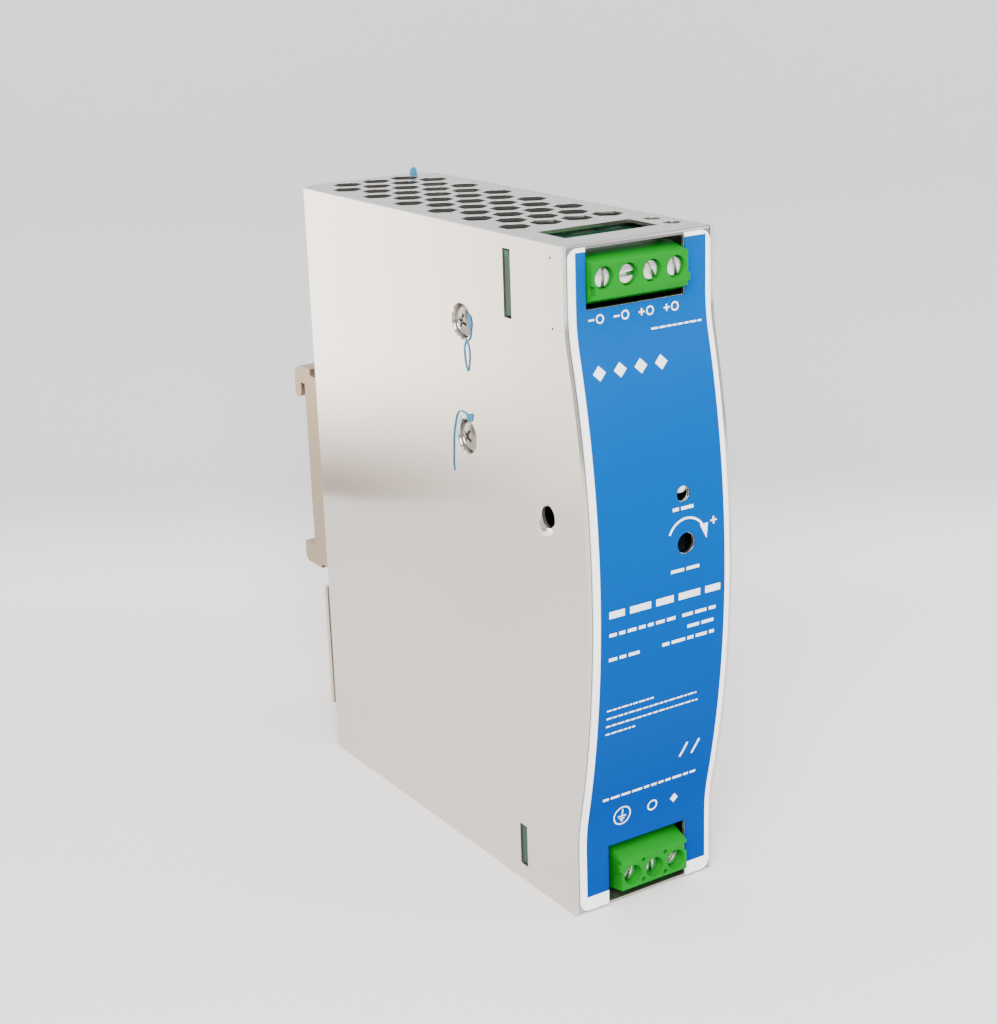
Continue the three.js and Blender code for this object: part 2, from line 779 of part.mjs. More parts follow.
// Compression spring between the lower pillar and the top of the latch's window.
function latchSpring() {
  const wire = 0.3;
  const coil = 1.9;
  const turns = 6;
  const low = bracketPillars[0] + pillarRadius + 0.15 + wire;
  const high = latchWindow.high - 0.15 - wire;
  const steps = turns * 8;
  const points = Array.from({ length: steps + 1 }, (_, i) => {
    const angle = (i / steps) * turns * Math.PI * 2;
    const climb = low + ((high - low) * i) / steps;
    return new THREE.Vector3(coil * Math.cos(angle), coil * Math.sin(angle), climb);
  });
  const section = new THREE.Shape(circle(wire, 0, 0, 5).map(([a, b]) => new THREE.Vector2(a, b)));
  const geometry = new THREE.ExtrudeGeometry(section, {
    steps,
    bevelEnabled: false,
    extrudePath: new THREE.CatmullRomCurve3(points),
  });
  const spring = mesh("latch_spring", solid(geometry), nickel);
  spring.position.set(0, (latchPlate.front + latchPlate.back) / 2, 0);
  return spring;
}

// ---- assembly ----
const supply = new THREE.Group();
const placed = new THREE.Group();
supply.add(placed);
placed.position.y = -(footBack - bulge - labelThick - 0.02) / 2;

placed.add(caseWrap(), ...foldedSheets(), frontLabel());

const outputBlock = terminalBlock("output", 4, [0, 88, -30, -15]);
outputBlock.position.x = outputX;
outputBlock.position.z = outputZ;
const inputBlock = terminalBlock("input", 3, [-135, 0, -158]);
inputBlock.position.x = inputX;
inputBlock.position.z = inputZ;
inputBlock.rotation.y = Math.PI;
placed.add(outputBlock, inputBlock);

const outputPins = pinHoles(4, outputX, outputZ - 3.9, 1);
const inputPins = pinHoles(3, inputX, inputZ + 3.9, -1);
placed.add(
  terminalCard("output_terminal_board", 110, 123.6, boardSlots[0], outputPins),
  terminalCard("input_terminal_board", 1.6, 14.5, boardSlots[1], inputPins),
  mainBoard(),
  insulatingSheet(),
);
placed.add(indicatorLamp(), trimmerBody(), trimmerRotor());
placed.add(...sideScrews.map(sideScrew), heatSpreader());
placed.add(powerPackage("main_transistor", 28.5, 96.5), powerPackage("output_rectifier", 39.2, 96.5));
placed.add(...transformer());
placed.add(
  ring("line_filter_core", onBoard - 7, 36, 14.5, 9, 4.5, 8, ferrite),
  ring("output_choke", onBoard - 7, 56, 104, 9, 4, 9, copper),
  boxPart("interference_capacitor", 36, 36, 12, 17, 15, tape),
  canCapacitor("bulk_capacitor", 66, 26, 11, 25),
  canCapacitor("output_capacitor_1", 76, 106, 5, 20),
  canCapacitor("output_capacitor_2", 88, 106, 5, 20),
  canCapacitor("output_capacitor_3", 82, 93, 5, 20),
  boxPart("bridge_rectifier", 50, 26, 3.5, 20, 15, blackPlastic),
  boxPart("coupling_coil", 85, 70, 9, 12, 16, filmBox),
  lineFuse(),
);
placed.add(railBracket(), railLatch(), latchSpring());
placed.add(bracketScrew("bracket_screw_lower", bracketPillars[0]));
placed.add(bracketScrew("bracket_screw_upper", bracketPillars[1]));
placed.add(rearNut("rear_nut_lower", bracketPillars[0]), rearNut("rear_nut_upper", bracketPillars[1]));

export default supply;
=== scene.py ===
import math
import random

import bmesh
import bpy
from mathutils import Matrix, Vector


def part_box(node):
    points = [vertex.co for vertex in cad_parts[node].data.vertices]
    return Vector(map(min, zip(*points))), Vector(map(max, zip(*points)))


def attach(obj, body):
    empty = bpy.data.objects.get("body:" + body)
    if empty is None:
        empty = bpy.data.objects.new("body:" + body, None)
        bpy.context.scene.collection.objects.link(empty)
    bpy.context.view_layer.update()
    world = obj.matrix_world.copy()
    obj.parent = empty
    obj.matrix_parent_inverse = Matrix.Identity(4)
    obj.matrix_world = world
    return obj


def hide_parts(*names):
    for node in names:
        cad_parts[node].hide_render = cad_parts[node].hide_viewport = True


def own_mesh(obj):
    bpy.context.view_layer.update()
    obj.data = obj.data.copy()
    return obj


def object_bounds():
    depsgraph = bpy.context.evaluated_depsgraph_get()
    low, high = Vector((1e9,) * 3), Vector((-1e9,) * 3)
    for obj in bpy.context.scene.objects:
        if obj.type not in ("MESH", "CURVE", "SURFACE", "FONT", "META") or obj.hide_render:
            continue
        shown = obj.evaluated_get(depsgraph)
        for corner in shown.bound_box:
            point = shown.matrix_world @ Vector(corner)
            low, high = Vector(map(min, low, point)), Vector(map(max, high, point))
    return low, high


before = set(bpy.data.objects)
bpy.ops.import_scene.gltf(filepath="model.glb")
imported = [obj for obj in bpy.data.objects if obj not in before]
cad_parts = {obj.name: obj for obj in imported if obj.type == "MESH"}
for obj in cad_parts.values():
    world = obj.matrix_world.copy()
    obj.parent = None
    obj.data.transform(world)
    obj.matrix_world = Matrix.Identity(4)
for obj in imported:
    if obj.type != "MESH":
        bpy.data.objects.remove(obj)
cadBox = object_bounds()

# Shapes are drawn in millimetres from the front's flat stretches (y = 0) and the case's foot (z = 0),
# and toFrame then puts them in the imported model's metres.
mm = 0.001
bulge = 5.7
caseLow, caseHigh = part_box("case_wrap")
flatY = caseLow.y + bulge * mm
toFrame = Matrix.Translation((0, flatY, 0)) @ Matrix.Scale(mm, 4)
caseHeight = (caseHigh.z - caseLow.z) / mm
halfWidth = (caseHigh.x - caseLow.x) / 2 / mm

frontCurve = {"middle": 63.4, "half": 50.9, "radius": 195.0}


def frontY(z):  # how far back the sheet's front lies at a height
    angle = 2 * math.atan(bulge / frontCurve["half"])
    radius = frontCurve["radius"]
    turnRadius = frontCurve["half"] / math.sin(angle) - radius
    away = abs(z - frontCurve["middle"])
    if away >= frontCurve["half"]:
        return 0.0
    if away <= radius * math.sin(angle):
        return -bulge + radius - math.sqrt(radius**2 - away**2)
    return math.sqrt(turnRadius**2 - (frontCurve["half"] - away) ** 2) - turnRadius


# ---- node trees and materials ----


def feed(tree, socket, value):
    # A socket given as the value is linked, and anything else is set.
    if isinstance(value, bpy.types.NodeSocket):
        tree.links.new(value, socket)
    else:
        socket.default_value = value


def wire(tree, node, **inputs):
    for name, value in inputs.items():
        feed(tree, node.inputs[name.replace("_", " ")], value)
    return node


def math2(tree, operation, a, b=0.0, clamp=False):
    node = tree.nodes.new("ShaderNodeMath")
    node.operation = operation
    node.use_clamp = clamp
    feed(tree, node.inputs[0], a)
    feed(tree, node.inputs[1], b)
    return node.outputs[0]


def mixColor(tree, factor, a, b):
    node = tree.nodes.new("ShaderNodeMix")
    node.data_type = "RGBA"
    for name, value in (("Factor", factor), ("A", a), ("B", b)):
        socket = [s for s in node.inputs if s.name == name and s.enabled][0]
        asIs = name == "Factor" or isinstance(value, bpy.types.NodeSocket)
        feed(tree, socket, value if asIs else (*value, 1))
    return [s for s in node.outputs if s.enabled][0]


def ramp(tree, value, low, high, shape="SMOOTHSTEP"):
    # 0 where the value is at low, 1 where it is at high.
    node = tree.nodes.new("ShaderNodeMapRange")
    node.interpolation_type = shape
    return wire(tree, node, Value=value, From_Min=low, From_Max=high).outputs["Result"]


def axesOf(tree, place):
    return wire(tree, tree.nodes.new("ShaderNodeSeparateXYZ"), Vector=place).outputs


def nodeGroup(kind, name, inputs, outputs):
    # Inputs are (name, socket type, value or None), outputs (name, socket type).
    group = bpy.data.node_groups.new(name, kind)
    keys = {}
    for socketName, socketType, value in inputs:
        socket = group.interface.new_socket(socketName, in_out="INPUT", socket_type="NodeSocket" + socketType)
        keys[socketName] = socket.identifier
        if value is not None:
            socket.default_value = value
    for socketName, socketType in outputs:
        group.interface.new_socket(socketName, in_out="OUTPUT", socket_type="NodeSocket" + socketType)
    return group, group.nodes.new("NodeGroupInput"), group.nodes.new("NodeGroupOutput"), keys


def makeGrainGroup():
    # Cloudy variation with a fine grain on top, from 0 to 1 round a half.
    group, given, made, _ = nodeGroup(
        "ShaderNodeTree", "surfaceGrain",
        [("Vector", "Vector", None), ("Cloud Scale", "Float", 60.0), ("Grain Scale", "Float", 2500.0),
         ("Grain Share", "Float", 0.4)],
        [("Value", "Float"), ("Grain", "Float")])
    cloud = wire(group, group.nodes.new("ShaderNodeTexNoise"), Vector=given.outputs["Vector"],
                 Scale=given.outputs["Cloud Scale"], Detail=3.0)
    grain = wire(group, group.nodes.new("ShaderNodeTexNoise"), Vector=given.outputs["Vector"],
                 Scale=given.outputs["Grain Scale"], Detail=2.0)
    share = given.outputs["Grain Share"]
    mixed = math2(group, "ADD", math2(group, "MULTIPLY", grain.outputs["Fac"], share),
                  math2(group, "MULTIPLY", cloud.outputs["Fac"], math2(group, "SUBTRACT", 1.0, share)))
    group.links.new(mixed, made.inputs["Value"])
    group.links.new(grain.outputs["Fac"], made.inputs["Grain"])
    return group


def makeBrushGroup():
    # Long faint rolling lines: noise squeezed across one direction.
    group, given, made, _ = nodeGroup(
        "ShaderNodeTree", "rollingLines",
        [("Vector", "Vector", None), ("Stretch", "Vector", (1.0, 1.0, 40.0)), ("Scale", "Float", 120.0)],
        [("Value", "Float")])
    mapping = wire(group, group.nodes.new("ShaderNodeMapping"), Vector=given.outputs["Vector"],
                   Scale=given.outputs["Stretch"])
    noise = wire(group, group.nodes.new("ShaderNodeTexNoise"), Vector=mapping.outputs["Vector"],
                 Scale=given.outputs["Scale"], Detail=4.0)
    group.links.new(noise.outputs["Fac"], made.inputs["Value"])
    return group


grainGroup = makeGrainGroup()
brushGroup = makeBrushGroup()


def useGroup(tree, group, **inputs):
    node = tree.nodes.new("ShaderNodeGroup")
    node.node_tree = group
    return wire(tree, node, **inputs)


def newMaterial(name):
    material = bpy.data.materials.new(name)
    material.use_nodes = True
    tree = material.node_tree
    place = tree.nodes.new("ShaderNodeTexCoord").outputs["Object"]
    return material, tree, tree.nodes["Principled BSDF"], place


def spread(tree, value, middle, width):
    # A grain value turned into a number that wanders round the middle.
    return math2(tree, "ADD", math2(tree, "MULTIPLY", math2(tree, "SUBTRACT", value, 0.5), width), middle)


def bumpFrom(tree, shader, height, strength, distance):
    bump = wire(tree, tree.nodes.new("ShaderNodeBump"), Height=height, Strength=strength, Distance=distance)
    tree.links.new(bump.outputs["Normal"], shader.inputs["Normal"])


def grainyFinish(name, dark, light, roughness, metallic=0.0, cloud=60.0, grain=2500.0, share=0.4,
                 bump=0.15, roughSpread=0.12, coat=0.0, specular=0.5, paintedGlow=0.0):
    material, tree, shader, place = newMaterial(name)
    wire(tree, shader, Metallic=metallic, Coat_Weight=coat, Coat_Roughness=0.15, Specular_IOR_Level=specular)
    surface = useGroup(tree, grainGroup, Vector=place, Cloud_Scale=cloud, Grain_Scale=grain, Grain_Share=share)
    value = surface.outputs["Value"]
    wire(tree, shader, Base_Color=mixColor(tree, value, dark, light))
    # painted light: the finish glows in its own pale colour
    if paintedGlow:
        wire(tree, shader, Emission_Color=(*light, 1), Emission_Strength=paintedGlow)
    wire(tree, shader, Roughness=spread(tree, value, roughness, roughSpread))
    bumpFrom(tree, shader, surface.outputs["Grain"], bump, 0.00004)
    return material


sheetMetal = {
    "dark": (0.56, 0.53, 0.50),
    "light": (0.68, 0.645, 0.605),
    "roughness": 0.10,
    "linesScale": 90.0,
    "linesBump": 0.03,
}


def makeSheetMaterial(name, paintedShadeScale=1.0):
    material, tree, shader, place = newMaterial(name)
    wire(tree, shader, Metallic=0.92)
    surface = useGroup(tree, grainGroup, Vector=place, Cloud_Scale=22.0, Grain_Scale=1800.0, Grain_Share=0.25)
    lines = useGroup(tree, brushGroup, Vector=place, Scale=sheetMetal["linesScale"])
    both = math2(tree, "ADD", math2(tree, "MULTIPLY", surface.outputs["Value"], 0.7),
                 math2(tree, "MULTIPLY", lines.outputs["Value"], 0.3))
    # painted shade: a scale below 1 gives a darker copy of the same plated sheet
    dark, light = ([c * paintedShadeScale for c in sheetMetal[shade]] for shade in ("dark", "light"))
    wire(tree, shader, Base_Color=mixColor(tree, both, dark, light),
         Roughness=spread(tree, both, sheetMetal["roughness"], 0.08))
    bumpFrom(tree, shader, lines.outputs["Value"], sheetMetal["linesBump"], 0.00003)
    return material


label = {
    "left": -13.7, "right": 14.1, "low": 3.3, "high": 124.0,  # the blue field
    "soft": 0.06,  # how quickly the ink starts
    "blue": (0.0001, 0.080, 0.31),
    "blueDeep": (0.0001, 0.066, 0.27),
    "bluePaintedShade": (0.0002, 0.038, 0.23),  # painted shade towards the foot
    "border": (0.95, 0.96, 0.98),
    "thickness": 0.25,
    "lift": 0.02,
}


def insideBand(tree, value, low, high, soft):
    rise = math2(tree, "DIVIDE", math2(tree, "SUBTRACT", value, low * mm), soft * mm, clamp=True)
    fall = math2(tree, "DIVIDE", math2(tree, "SUBTRACT", high * mm, value), soft * mm, clamp=True)
    return math2(tree, "MULTIPLY", rise, fall)


def makeLabelMaterial():
    material, tree, shader, place = newMaterial("printed_film")
    wire(tree, shader, Specular_IOR_Level=0.0)
    axes = axesOf(tree, place)
    height = math2(tree, "DIVIDE", axes["Z"], caseHeight * mm, clamp=True)
    field = math2(tree, "MULTIPLY",
                  insideBand(tree, axes["X"], label["left"], label["right"], label["soft"]),
                  insideBand(tree, axes["Z"], label["low"], label["high"], label["soft"]))
    surface = useGroup(tree, grainGroup, Vector=place, Cloud_Scale=30.0, Grain_Scale=3500.0, Grain_Share=0.35)
    upper = mixColor(tree, surface.outputs["Value"], label["blueDeep"], label["blue"])
    # painted shade: the blue is mixed darker towards the foot by height, where less light falls on it
    blue = mixColor(tree, height, label["bluePaintedShade"], upper)
    wire(tree, shader, Base_Color=mixColor(tree, field, label["border"], blue),
         Roughness=spread(tree, surface.outputs["Value"], 0.42, 0.1))
    bumpFrom(tree, shader, surface.outputs["Grain"], 0.12, 0.00003)
    return material


def makeLaminateMaterial():
    # Lacquered board: darker green over paler copper tracks.
    material, tree, shader, place = newMaterial("board_laminate")
    wire(tree, shader, Coat_Weight=0.08, Coat_Roughness=0.3, Specular_IOR_Level=0.2)
    surface = useGroup(tree, grainGroup, Vector=place, Cloud_Scale=150.0, Grain_Scale=3000.0, Grain_Share=0.3)
    tracks = tree.nodes.new("ShaderNodeTexVoronoi")
    tracks.distance = "MANHATTAN"
    wire(tree, tracks, Vector=place, Scale=180.0)
    mask = math2(tree, "LESS_THAN", tracks.outputs["Distance"], 0.35)
    base = mixColor(tree, surface.outputs["Value"], (0.003, 0.028, 0.012), (0.007, 0.055, 0.024))
    wire(tree, shader, Base_Color=mixColor(tree, mask, base, (0.014, 0.09, 0.038)),
         Roughness=spread(tree, surface.outputs["Value"], 0.4, 0.2))
    bumpFrom(tree, shader, mask, 0.2, 0.00003)
    return material


def makeFilmMaterial(name, deep, pale, cover):
    # Thin protective film, torn and stretched.
    material, tree, shader, place = newMaterial(name)
    wire(tree, shader, IOR=1.45, Specular_IOR_Level=0.3)
    surface = useGroup(tree, grainGroup, Vector=place, Cloud_Scale=700.0, Grain_Scale=4000.0, Grain_Share=0.3)
    value = surface.outputs["Value"]
    wire(tree, shader, Base_Color=mixColor(tree, value, deep, pale), Roughness=spread(tree, value, 0.3, 0.2),
         Alpha=spread(tree, value, cover, 0.9))
    bumpFrom(tree, shader, value, 0.6, 0.0001)
    return material


finishes = {
    "sheet": makeSheetMaterial("plated_sheet"),
    # the same plated sheet darkened to 0.7 for the front, top and bottom: painted shade
    "shadedSheet": makeSheetMaterial("plated_sheet_painted_shade", 0.7),
    "label": makeLabelMaterial(),
    "ink": grainyFinish("white_ink", (0.74, 0.80, 0.86), (0.88, 0.92, 0.96), 0.5, grain=4000.0, specular=0.2),
    "green": grainyFinish("green_moulding", (0.0006, 0.140, 0.006), (0.002, 0.205, 0.014), 0.45, cloud=90.0,
                          grain=3000.0, bump=0.12, specular=0.06),
    "screw": grainyFinish("nickel_screw", (0.66, 0.65, 0.62), (0.86, 0.85, 0.82), 0.26, metallic=1.0,
                          cloud=500.0, grain=5000.0, bump=0.1),
    "panScrew": grainyFinish("steel_pan_screw", (0.21, 0.185, 0.165), (0.38, 0.345, 0.31), 0.22, metallic=1.0,
                             cloud=600.0, grain=5000.0, bump=0.1),
    "tin": grainyFinish("tinned_metal", (0.5, 0.5, 0.49), (0.7, 0.7, 0.68), 0.38, metallic=1.0, cloud=300.0),
    "clip": grainyFinish("clip_metal", (0.29, 0.215, 0.145), (0.40, 0.31, 0.22), 0.36, metallic=0.8, cloud=80.0),
    "latch": grainyFinish("latch_metal", (0.47, 0.42, 0.36), (0.62, 0.57, 0.50), 0.34, metallic=0.9, cloud=90.0),
    "laminate": makeLaminateMaterial(),
    "film": makeFilmMaterial("torn_blue_film", (0.001, 0.09, 0.22), (0.02, 0.26, 0.42), 0.85),
    "paleFilm": makeFilmMaterial("pale_film", (0.35, 0.55, 0.66), (0.6, 0.75, 0.82), 0.4),
    # painted shade: the insulating sheet is made near black so the inside of the case looks dark
    "insulation": grainyFinish("insulating_sheet", (0.010, 0.011, 0.012), (0.022, 0.024, 0.025), 0.5),
    # the lamp lens glows in its own pale colour: painted light
    "lens": grainyFinish("lamp_lens", (0.80, 0.84, 0.78), (0.93, 0.95, 0.91), 0.18, coat=0.6, bump=0.03, paintedGlow=0.9),
    "trimmerCase": grainyFinish("trimmer_case", (0.004, 0.006, 0.012), (0.010, 0.014, 0.026), 0.5),
    "coilWrap": grainyFinish("coil_wrap", (0.008, 0.02, 0.09), (0.018, 0.04, 0.15), 0.45),
    "trimmerKnob": grainyFinish("trimmer_knob", (0.035, 0.035, 0.04), (0.07, 0.07, 0.075), 0.5),
    "aluminium": grainyFinish("mill_aluminium", (0.52, 0.53, 0.54), (0.7, 0.71, 0.72), 0.4, metallic=0.95),
    "package": grainyFinish("moulded_epoxy", (0.01, 0.01, 0.011), (0.028, 0.028, 0.03), 0.55, grain=3500.0,
                            bump=0.4),
    "ferrite": grainyFinish("ferrite", (0.02, 0.02, 0.022), (0.05, 0.05, 0.053), 0.6, grain=3000.0, bump=0.5),
    "tape": grainyFinish("polyester_tape", (0.55, 0.38, 0.05), (0.78, 0.6, 0.14), 0.35, coat=0.3),
    "copper": grainyFinish("enamelled_copper", (0.38, 0.12, 0.04), (0.62, 0.24, 0.09), 0.32, metallic=0.9),
    "sleeve": grainyFinish("capacitor_sleeve", (0.01, 0.011, 0.016), (0.03, 0.032, 0.045), 0.3, coat=0.4),
    "ceramic": grainyFinish("fuse_ceramic", (0.7, 0.69, 0.65), (0.85, 0.84, 0.8), 0.4, coat=0.3),
    "spring": grainyFinish("spring_wire", (0.35, 0.35, 0.36), (0.6, 0.6, 0.6), 0.3, metallic=1.0),
}
print("materials made:", len(finishes))

# ---- mesh helpers ----


def asObject(name, bm):
    mesh = bpy.data.meshes.new(name)
    bmesh.ops.recalc_face_normals(bm, faces=bm.faces)
    bm.to_mesh(mesh)
    bm.free()
    thing = bpy.data.objects.new(name, mesh)
    bpy.context.scene.collection.objects.link(thing)
    return thing


def bakeModifiers(thing):
    # Turns the object's modifiers into plain mesh.
    bpy.context.view_layer.update()
    seen = thing.evaluated_get(bpy.context.evaluated_depsgraph_get())
    plain = bpy.data.meshes.new_from_object(seen)
    thing.modifiers.clear()
    thing.data = plain
    return thing


def runTree(thing, tree, keys, values):
    # Runs a geometry tree with these inputs and keeps what it makes as plain mesh.
    modifier = thing.modifiers.new("tree", "NODES")
    modifier.node_group = tree
    for name, value in values.items():
        modifier[keys[name]] = value
    return bakeModifiers(thing)


def carve(thing, *tools, operation="DIFFERENCE"):
    for tool in tools:
        modifier = thing.modifiers.new("carve", "BOOLEAN")
        modifier.operation = operation
        modifier.solver = "EXACT"
        modifier.object = tool
    bakeModifiers(thing)
    for tool in tools:
        bpy.data.objects.remove(tool)
    return thing


def addBevel(thing, width, segments=2, angle=30):
    modifier = thing.modifiers.new("rounded edges", "BEVEL")
    modifier.width = width
    modifier.segments = segments
    modifier.limit_method = "ANGLE"
    modifier.angle_limit = math.radians(angle)
    modifier.use_clamp_overlap = True


def roundEdges(thing, width, segments=2, angle=30):
    addBevel(thing, width, segments, angle)
    return bakeModifiers(thing)


def smoothByAngle(thing, angle=35):
    mesh = thing.data
    mesh.polygons.foreach_set("use_smooth", [True] * len(mesh.polygons))
    mesh.set_sharp_from_angle(angle=math.radians(angle))


def evenNormals(thing):
    even = thing.modifiers.new("even normals", "WEIGHTED_NORMAL")
    even.mode = "FACE_AREA"
    even.weight = 100
    even.keep_sharp = True


def keep(thing, body, material, *nodes, slot=None, angle=35, placed=False):
    # Puts a finished piece in the frame, gives it its material and lets it ride.
    if not placed:
        thing.data.transform(toFrame)
    smoothByAngle(thing, angle)
    thing.data.materials.clear()
    thing.data.materials.append(finishes[material])
    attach(thing, body)
    if nodes:
        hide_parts(*nodes)
    return thing


axisTurns = {
    "x": Matrix(((0, 0, 1, 0), (1, 0, 0, 0), (0, 1, 0, 0), (0, 0, 0, 1))),
    "y": Matrix(((0, 1, 0, 0), (0, 0, 1, 0), (1, 0, 0, 0), (0, 0, 0, 1))),
    "z": Matrix.Identity(4),
}


def prism(name, axis, outline, low, high):
    # An outline pushed along an axis: (y, z) points for x, (z, x) for y and (x, y) for z.
    bm = bmesh.new()
    face = bm.faces.new([bm.verts.new((a, b, low)) for a, b in outline])
    grown = bmesh.ops.extrude_face_region(bm, geom=[face])
    for vert in [g for g in grown["geom"] if isinstance(g, bmesh.types.BMVert)]:
        vert.co.z = high
    bm.transform(axisTurns[axis])
    return asObject(name, bm)


def block(name, low, high):
    return prism(name, "z", [(low[0], low[1]), (high[0], low[1]), (high[0], high[1]), (low[0], high[1])],
                 low[2], high[2])


def circle(radius, a=0.0, b=0.0, sides=48):
    return [(a + radius * math.cos(2 * math.pi * i / sides), b + radius * math.sin(2 * math.pi * i / sides))
            for i in range(sides)]


def rod(name, axis, radius, low, high, a, b, sides=48):
    return prism(name, axis, circle(radius, a, b, sides), low, high)


def turned(name, axis, profile, sides=48):
    # A closed turned piece: (radius, place along the axis) points, from one end of the axis to the other.
    bm = bmesh.new()
    rings = []
    for radius, along in profile:
        if radius < 1e-6:
            rings.append([bm.verts.new((0, 0, along))])
        else:
            rings.append([bm.verts.new((x, y, along)) for x, y in circle(radius, sides=sides)])
    for lower, upper in zip(rings, rings[1:]):
        for i in range(sides):
            j = (i + 1) % sides
            corners = [lower[i % len(lower)], lower[j % len(lower)], upper[j % len(upper)], upper[i % len(upper)]]
            unique = list(dict.fromkeys(corners))
            if len(unique) > 2:
                bm.faces.new(unique)
    bm.transform(axisTurns[axis])
    return asObject(name, bm)


def shift(thing, x=0.0, y=0.0, z=0.0):
    thing.data.transform(Matrix.Translation((x, y, z)))
    return thing


def turn(thing, degrees, axis):
    thing.data.transform(Matrix.Rotation(math.radians(degrees), 4, axis))
    return thing


# ---- the printed film on the front ----

notches = {
    "output": {"left": -11.5, "right": 9.45, "edge": 114.0},
    "input": {"left": -8.6, "right": 9.35, "edge": 12.4},
}
lamp = {"x": 5.2, "z": 79.6, "hole": 1.4}
trimmer = {"x": 5.4, "z": 70.5, "hole": 1.9}


def arcPoints(cx, cy, radius, start, end, steps=8):
    return [(cx + radius * math.cos(math.radians(start + (end - start) * i / steps)),
             cy + radius * math.sin(math.radians(start + (end - start) * i / steps))) for i in range(steps + 1)]


def frontFilm():
    low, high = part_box("front_label")
    left, right = low.x / mm, high.x / mm
    bottom, top = low.z / mm, high.z / mm
    corner, gap = 2.0, 0.1  # the film stops a little short of the notches
    heights = [bottom - 1 + i for i in range(int(top - bottom) + 3)]
    back = [(frontY(z) - label["lift"], z) for z in heights]
    front = [(frontY(z) - label["lift"] - label["thickness"], z) for z in heights]
    film = prism("front_film", "x", front + back[::-1], left - 1, right + 1)
    out, inn = notches["output"], notches["input"]
    upperLeft, upperRight, upperEdge = out["left"] - gap, out["right"] + gap, out["edge"] - gap
    lowerLeft, lowerRight, lowerEdge = inn["left"] - gap, inn["right"] + gap, inn["edge"] + gap
    face = [(bottom, lowerRight)]
    face += arcPoints(bottom + corner, right - corner, corner, 180, 90)
    face += arcPoints(top - corner, right - corner, corner, 90, 0)
    face += [(top, upperRight), (upperEdge, upperRight), (upperEdge, upperLeft), (top, upperLeft)]
    face += arcPoints(top - corner, left + corner, corner, 0, -90)
    face += arcPoints(bottom + corner, left + corner, corner, -90, -180)
    face += [(bottom, lowerLeft), (lowerEdge, lowerLeft), (lowerEdge, lowerRight)]
    carve(film, prism("outline", "y", face, -12, 6), operation="INTERSECT")
    carve(film, *[rod("hole", "y", spec["hole"] + gap, -12, 6, spec["z"], spec["x"]) for spec in (lamp, trimmer)])
    return keep(film, "housing", "label", "front_label", slot="label_film")


printHeight = 0.03


def addPlate(bm, outline):
    # A flat mark of ink that follows the film: its outline is (x, z).
    def ring(lift):
        return [bm.verts.new((x, frontY(z) - label["lift"] - label["thickness"] - lift, z)) for x, z in outline]

    outer, inner = ring(printHeight), ring(-printHeight)
    bm.faces.new(outer)
    bm.faces.new(inner[::-1])
    for i in range(len(outline)):
        j = (i + 1) % len(outline)
        bm.faces.new((outer[i], inner[i], inner[j], outer[j]))


def addBar(bm, x0, x1, z, tall):
    addPlate(bm, [(x0, z - tall / 2), (x1, z - tall / 2), (x1, z + tall / 2), (x0, z + tall / 2)])


def addStroke(bm, points, width):
    # A line of even width along a list of points, one plate for each stretch.
    for (x0, z0), (x1, z1) in zip(points, points[1:]):
        length = math.hypot(x1 - x0, z1 - z0)
        sx, sz = -(z1 - z0) / length * width / 2, (x1 - x0) / length * width / 2
        addPlate(bm, [(x0 - sx, z0 - sz), (x1 - sx, z1 - sz), (x1 + sx, z1 + sz), (x0 + sx, z0 + sz)])


def addWords(bm, x0, x1, z, tall, seed, word=(0.9, 2.6), gap=0.5):
    # A line of plain dashes in place of print.
    dice = random.Random(seed)
    x = x0
    while x < x1 - 0.3:
        end = min(x + dice.uniform(*word), x1)
        addBar(bm, x, end, z, tall)
        x = end + gap


plainLines = [  # left end, right end, height of the line's middle, height of the dashes
    (1.8, 12.8, 109.0, 0.32),
    (2.6, 8.0, 77.1, 0.6),
    (1.8, 8.4, 65.8, 0.6),
    (-11.8, 13.0, 60.8, 1.3),
    (-11.8, 2.8, 57.0, 0.62),
    (4.4, 12.0, 57.0, 0.62),
    (5.6, 11.8, 54.6, 0.62),
    (-11.8, -4.4, 52.3, 0.62),
    (0.0, 11.8, 52.3, 0.62),
    (-11.8, -1.4, 42.2, 0.3),
    (-11.8, 8.6, 40.6, 0.3),
    (-11.8, 9.0, 39.0, 0.3),
    (-11.8, -5.2, 37.4, 0.3),
    (-10.8, 10.6, 23.0, 0.5),
]


def addRing(bm, x, z, radius, width, steps=24):
    addStroke(bm, arcPoints(x, z, radius, 0, 360, steps), width)


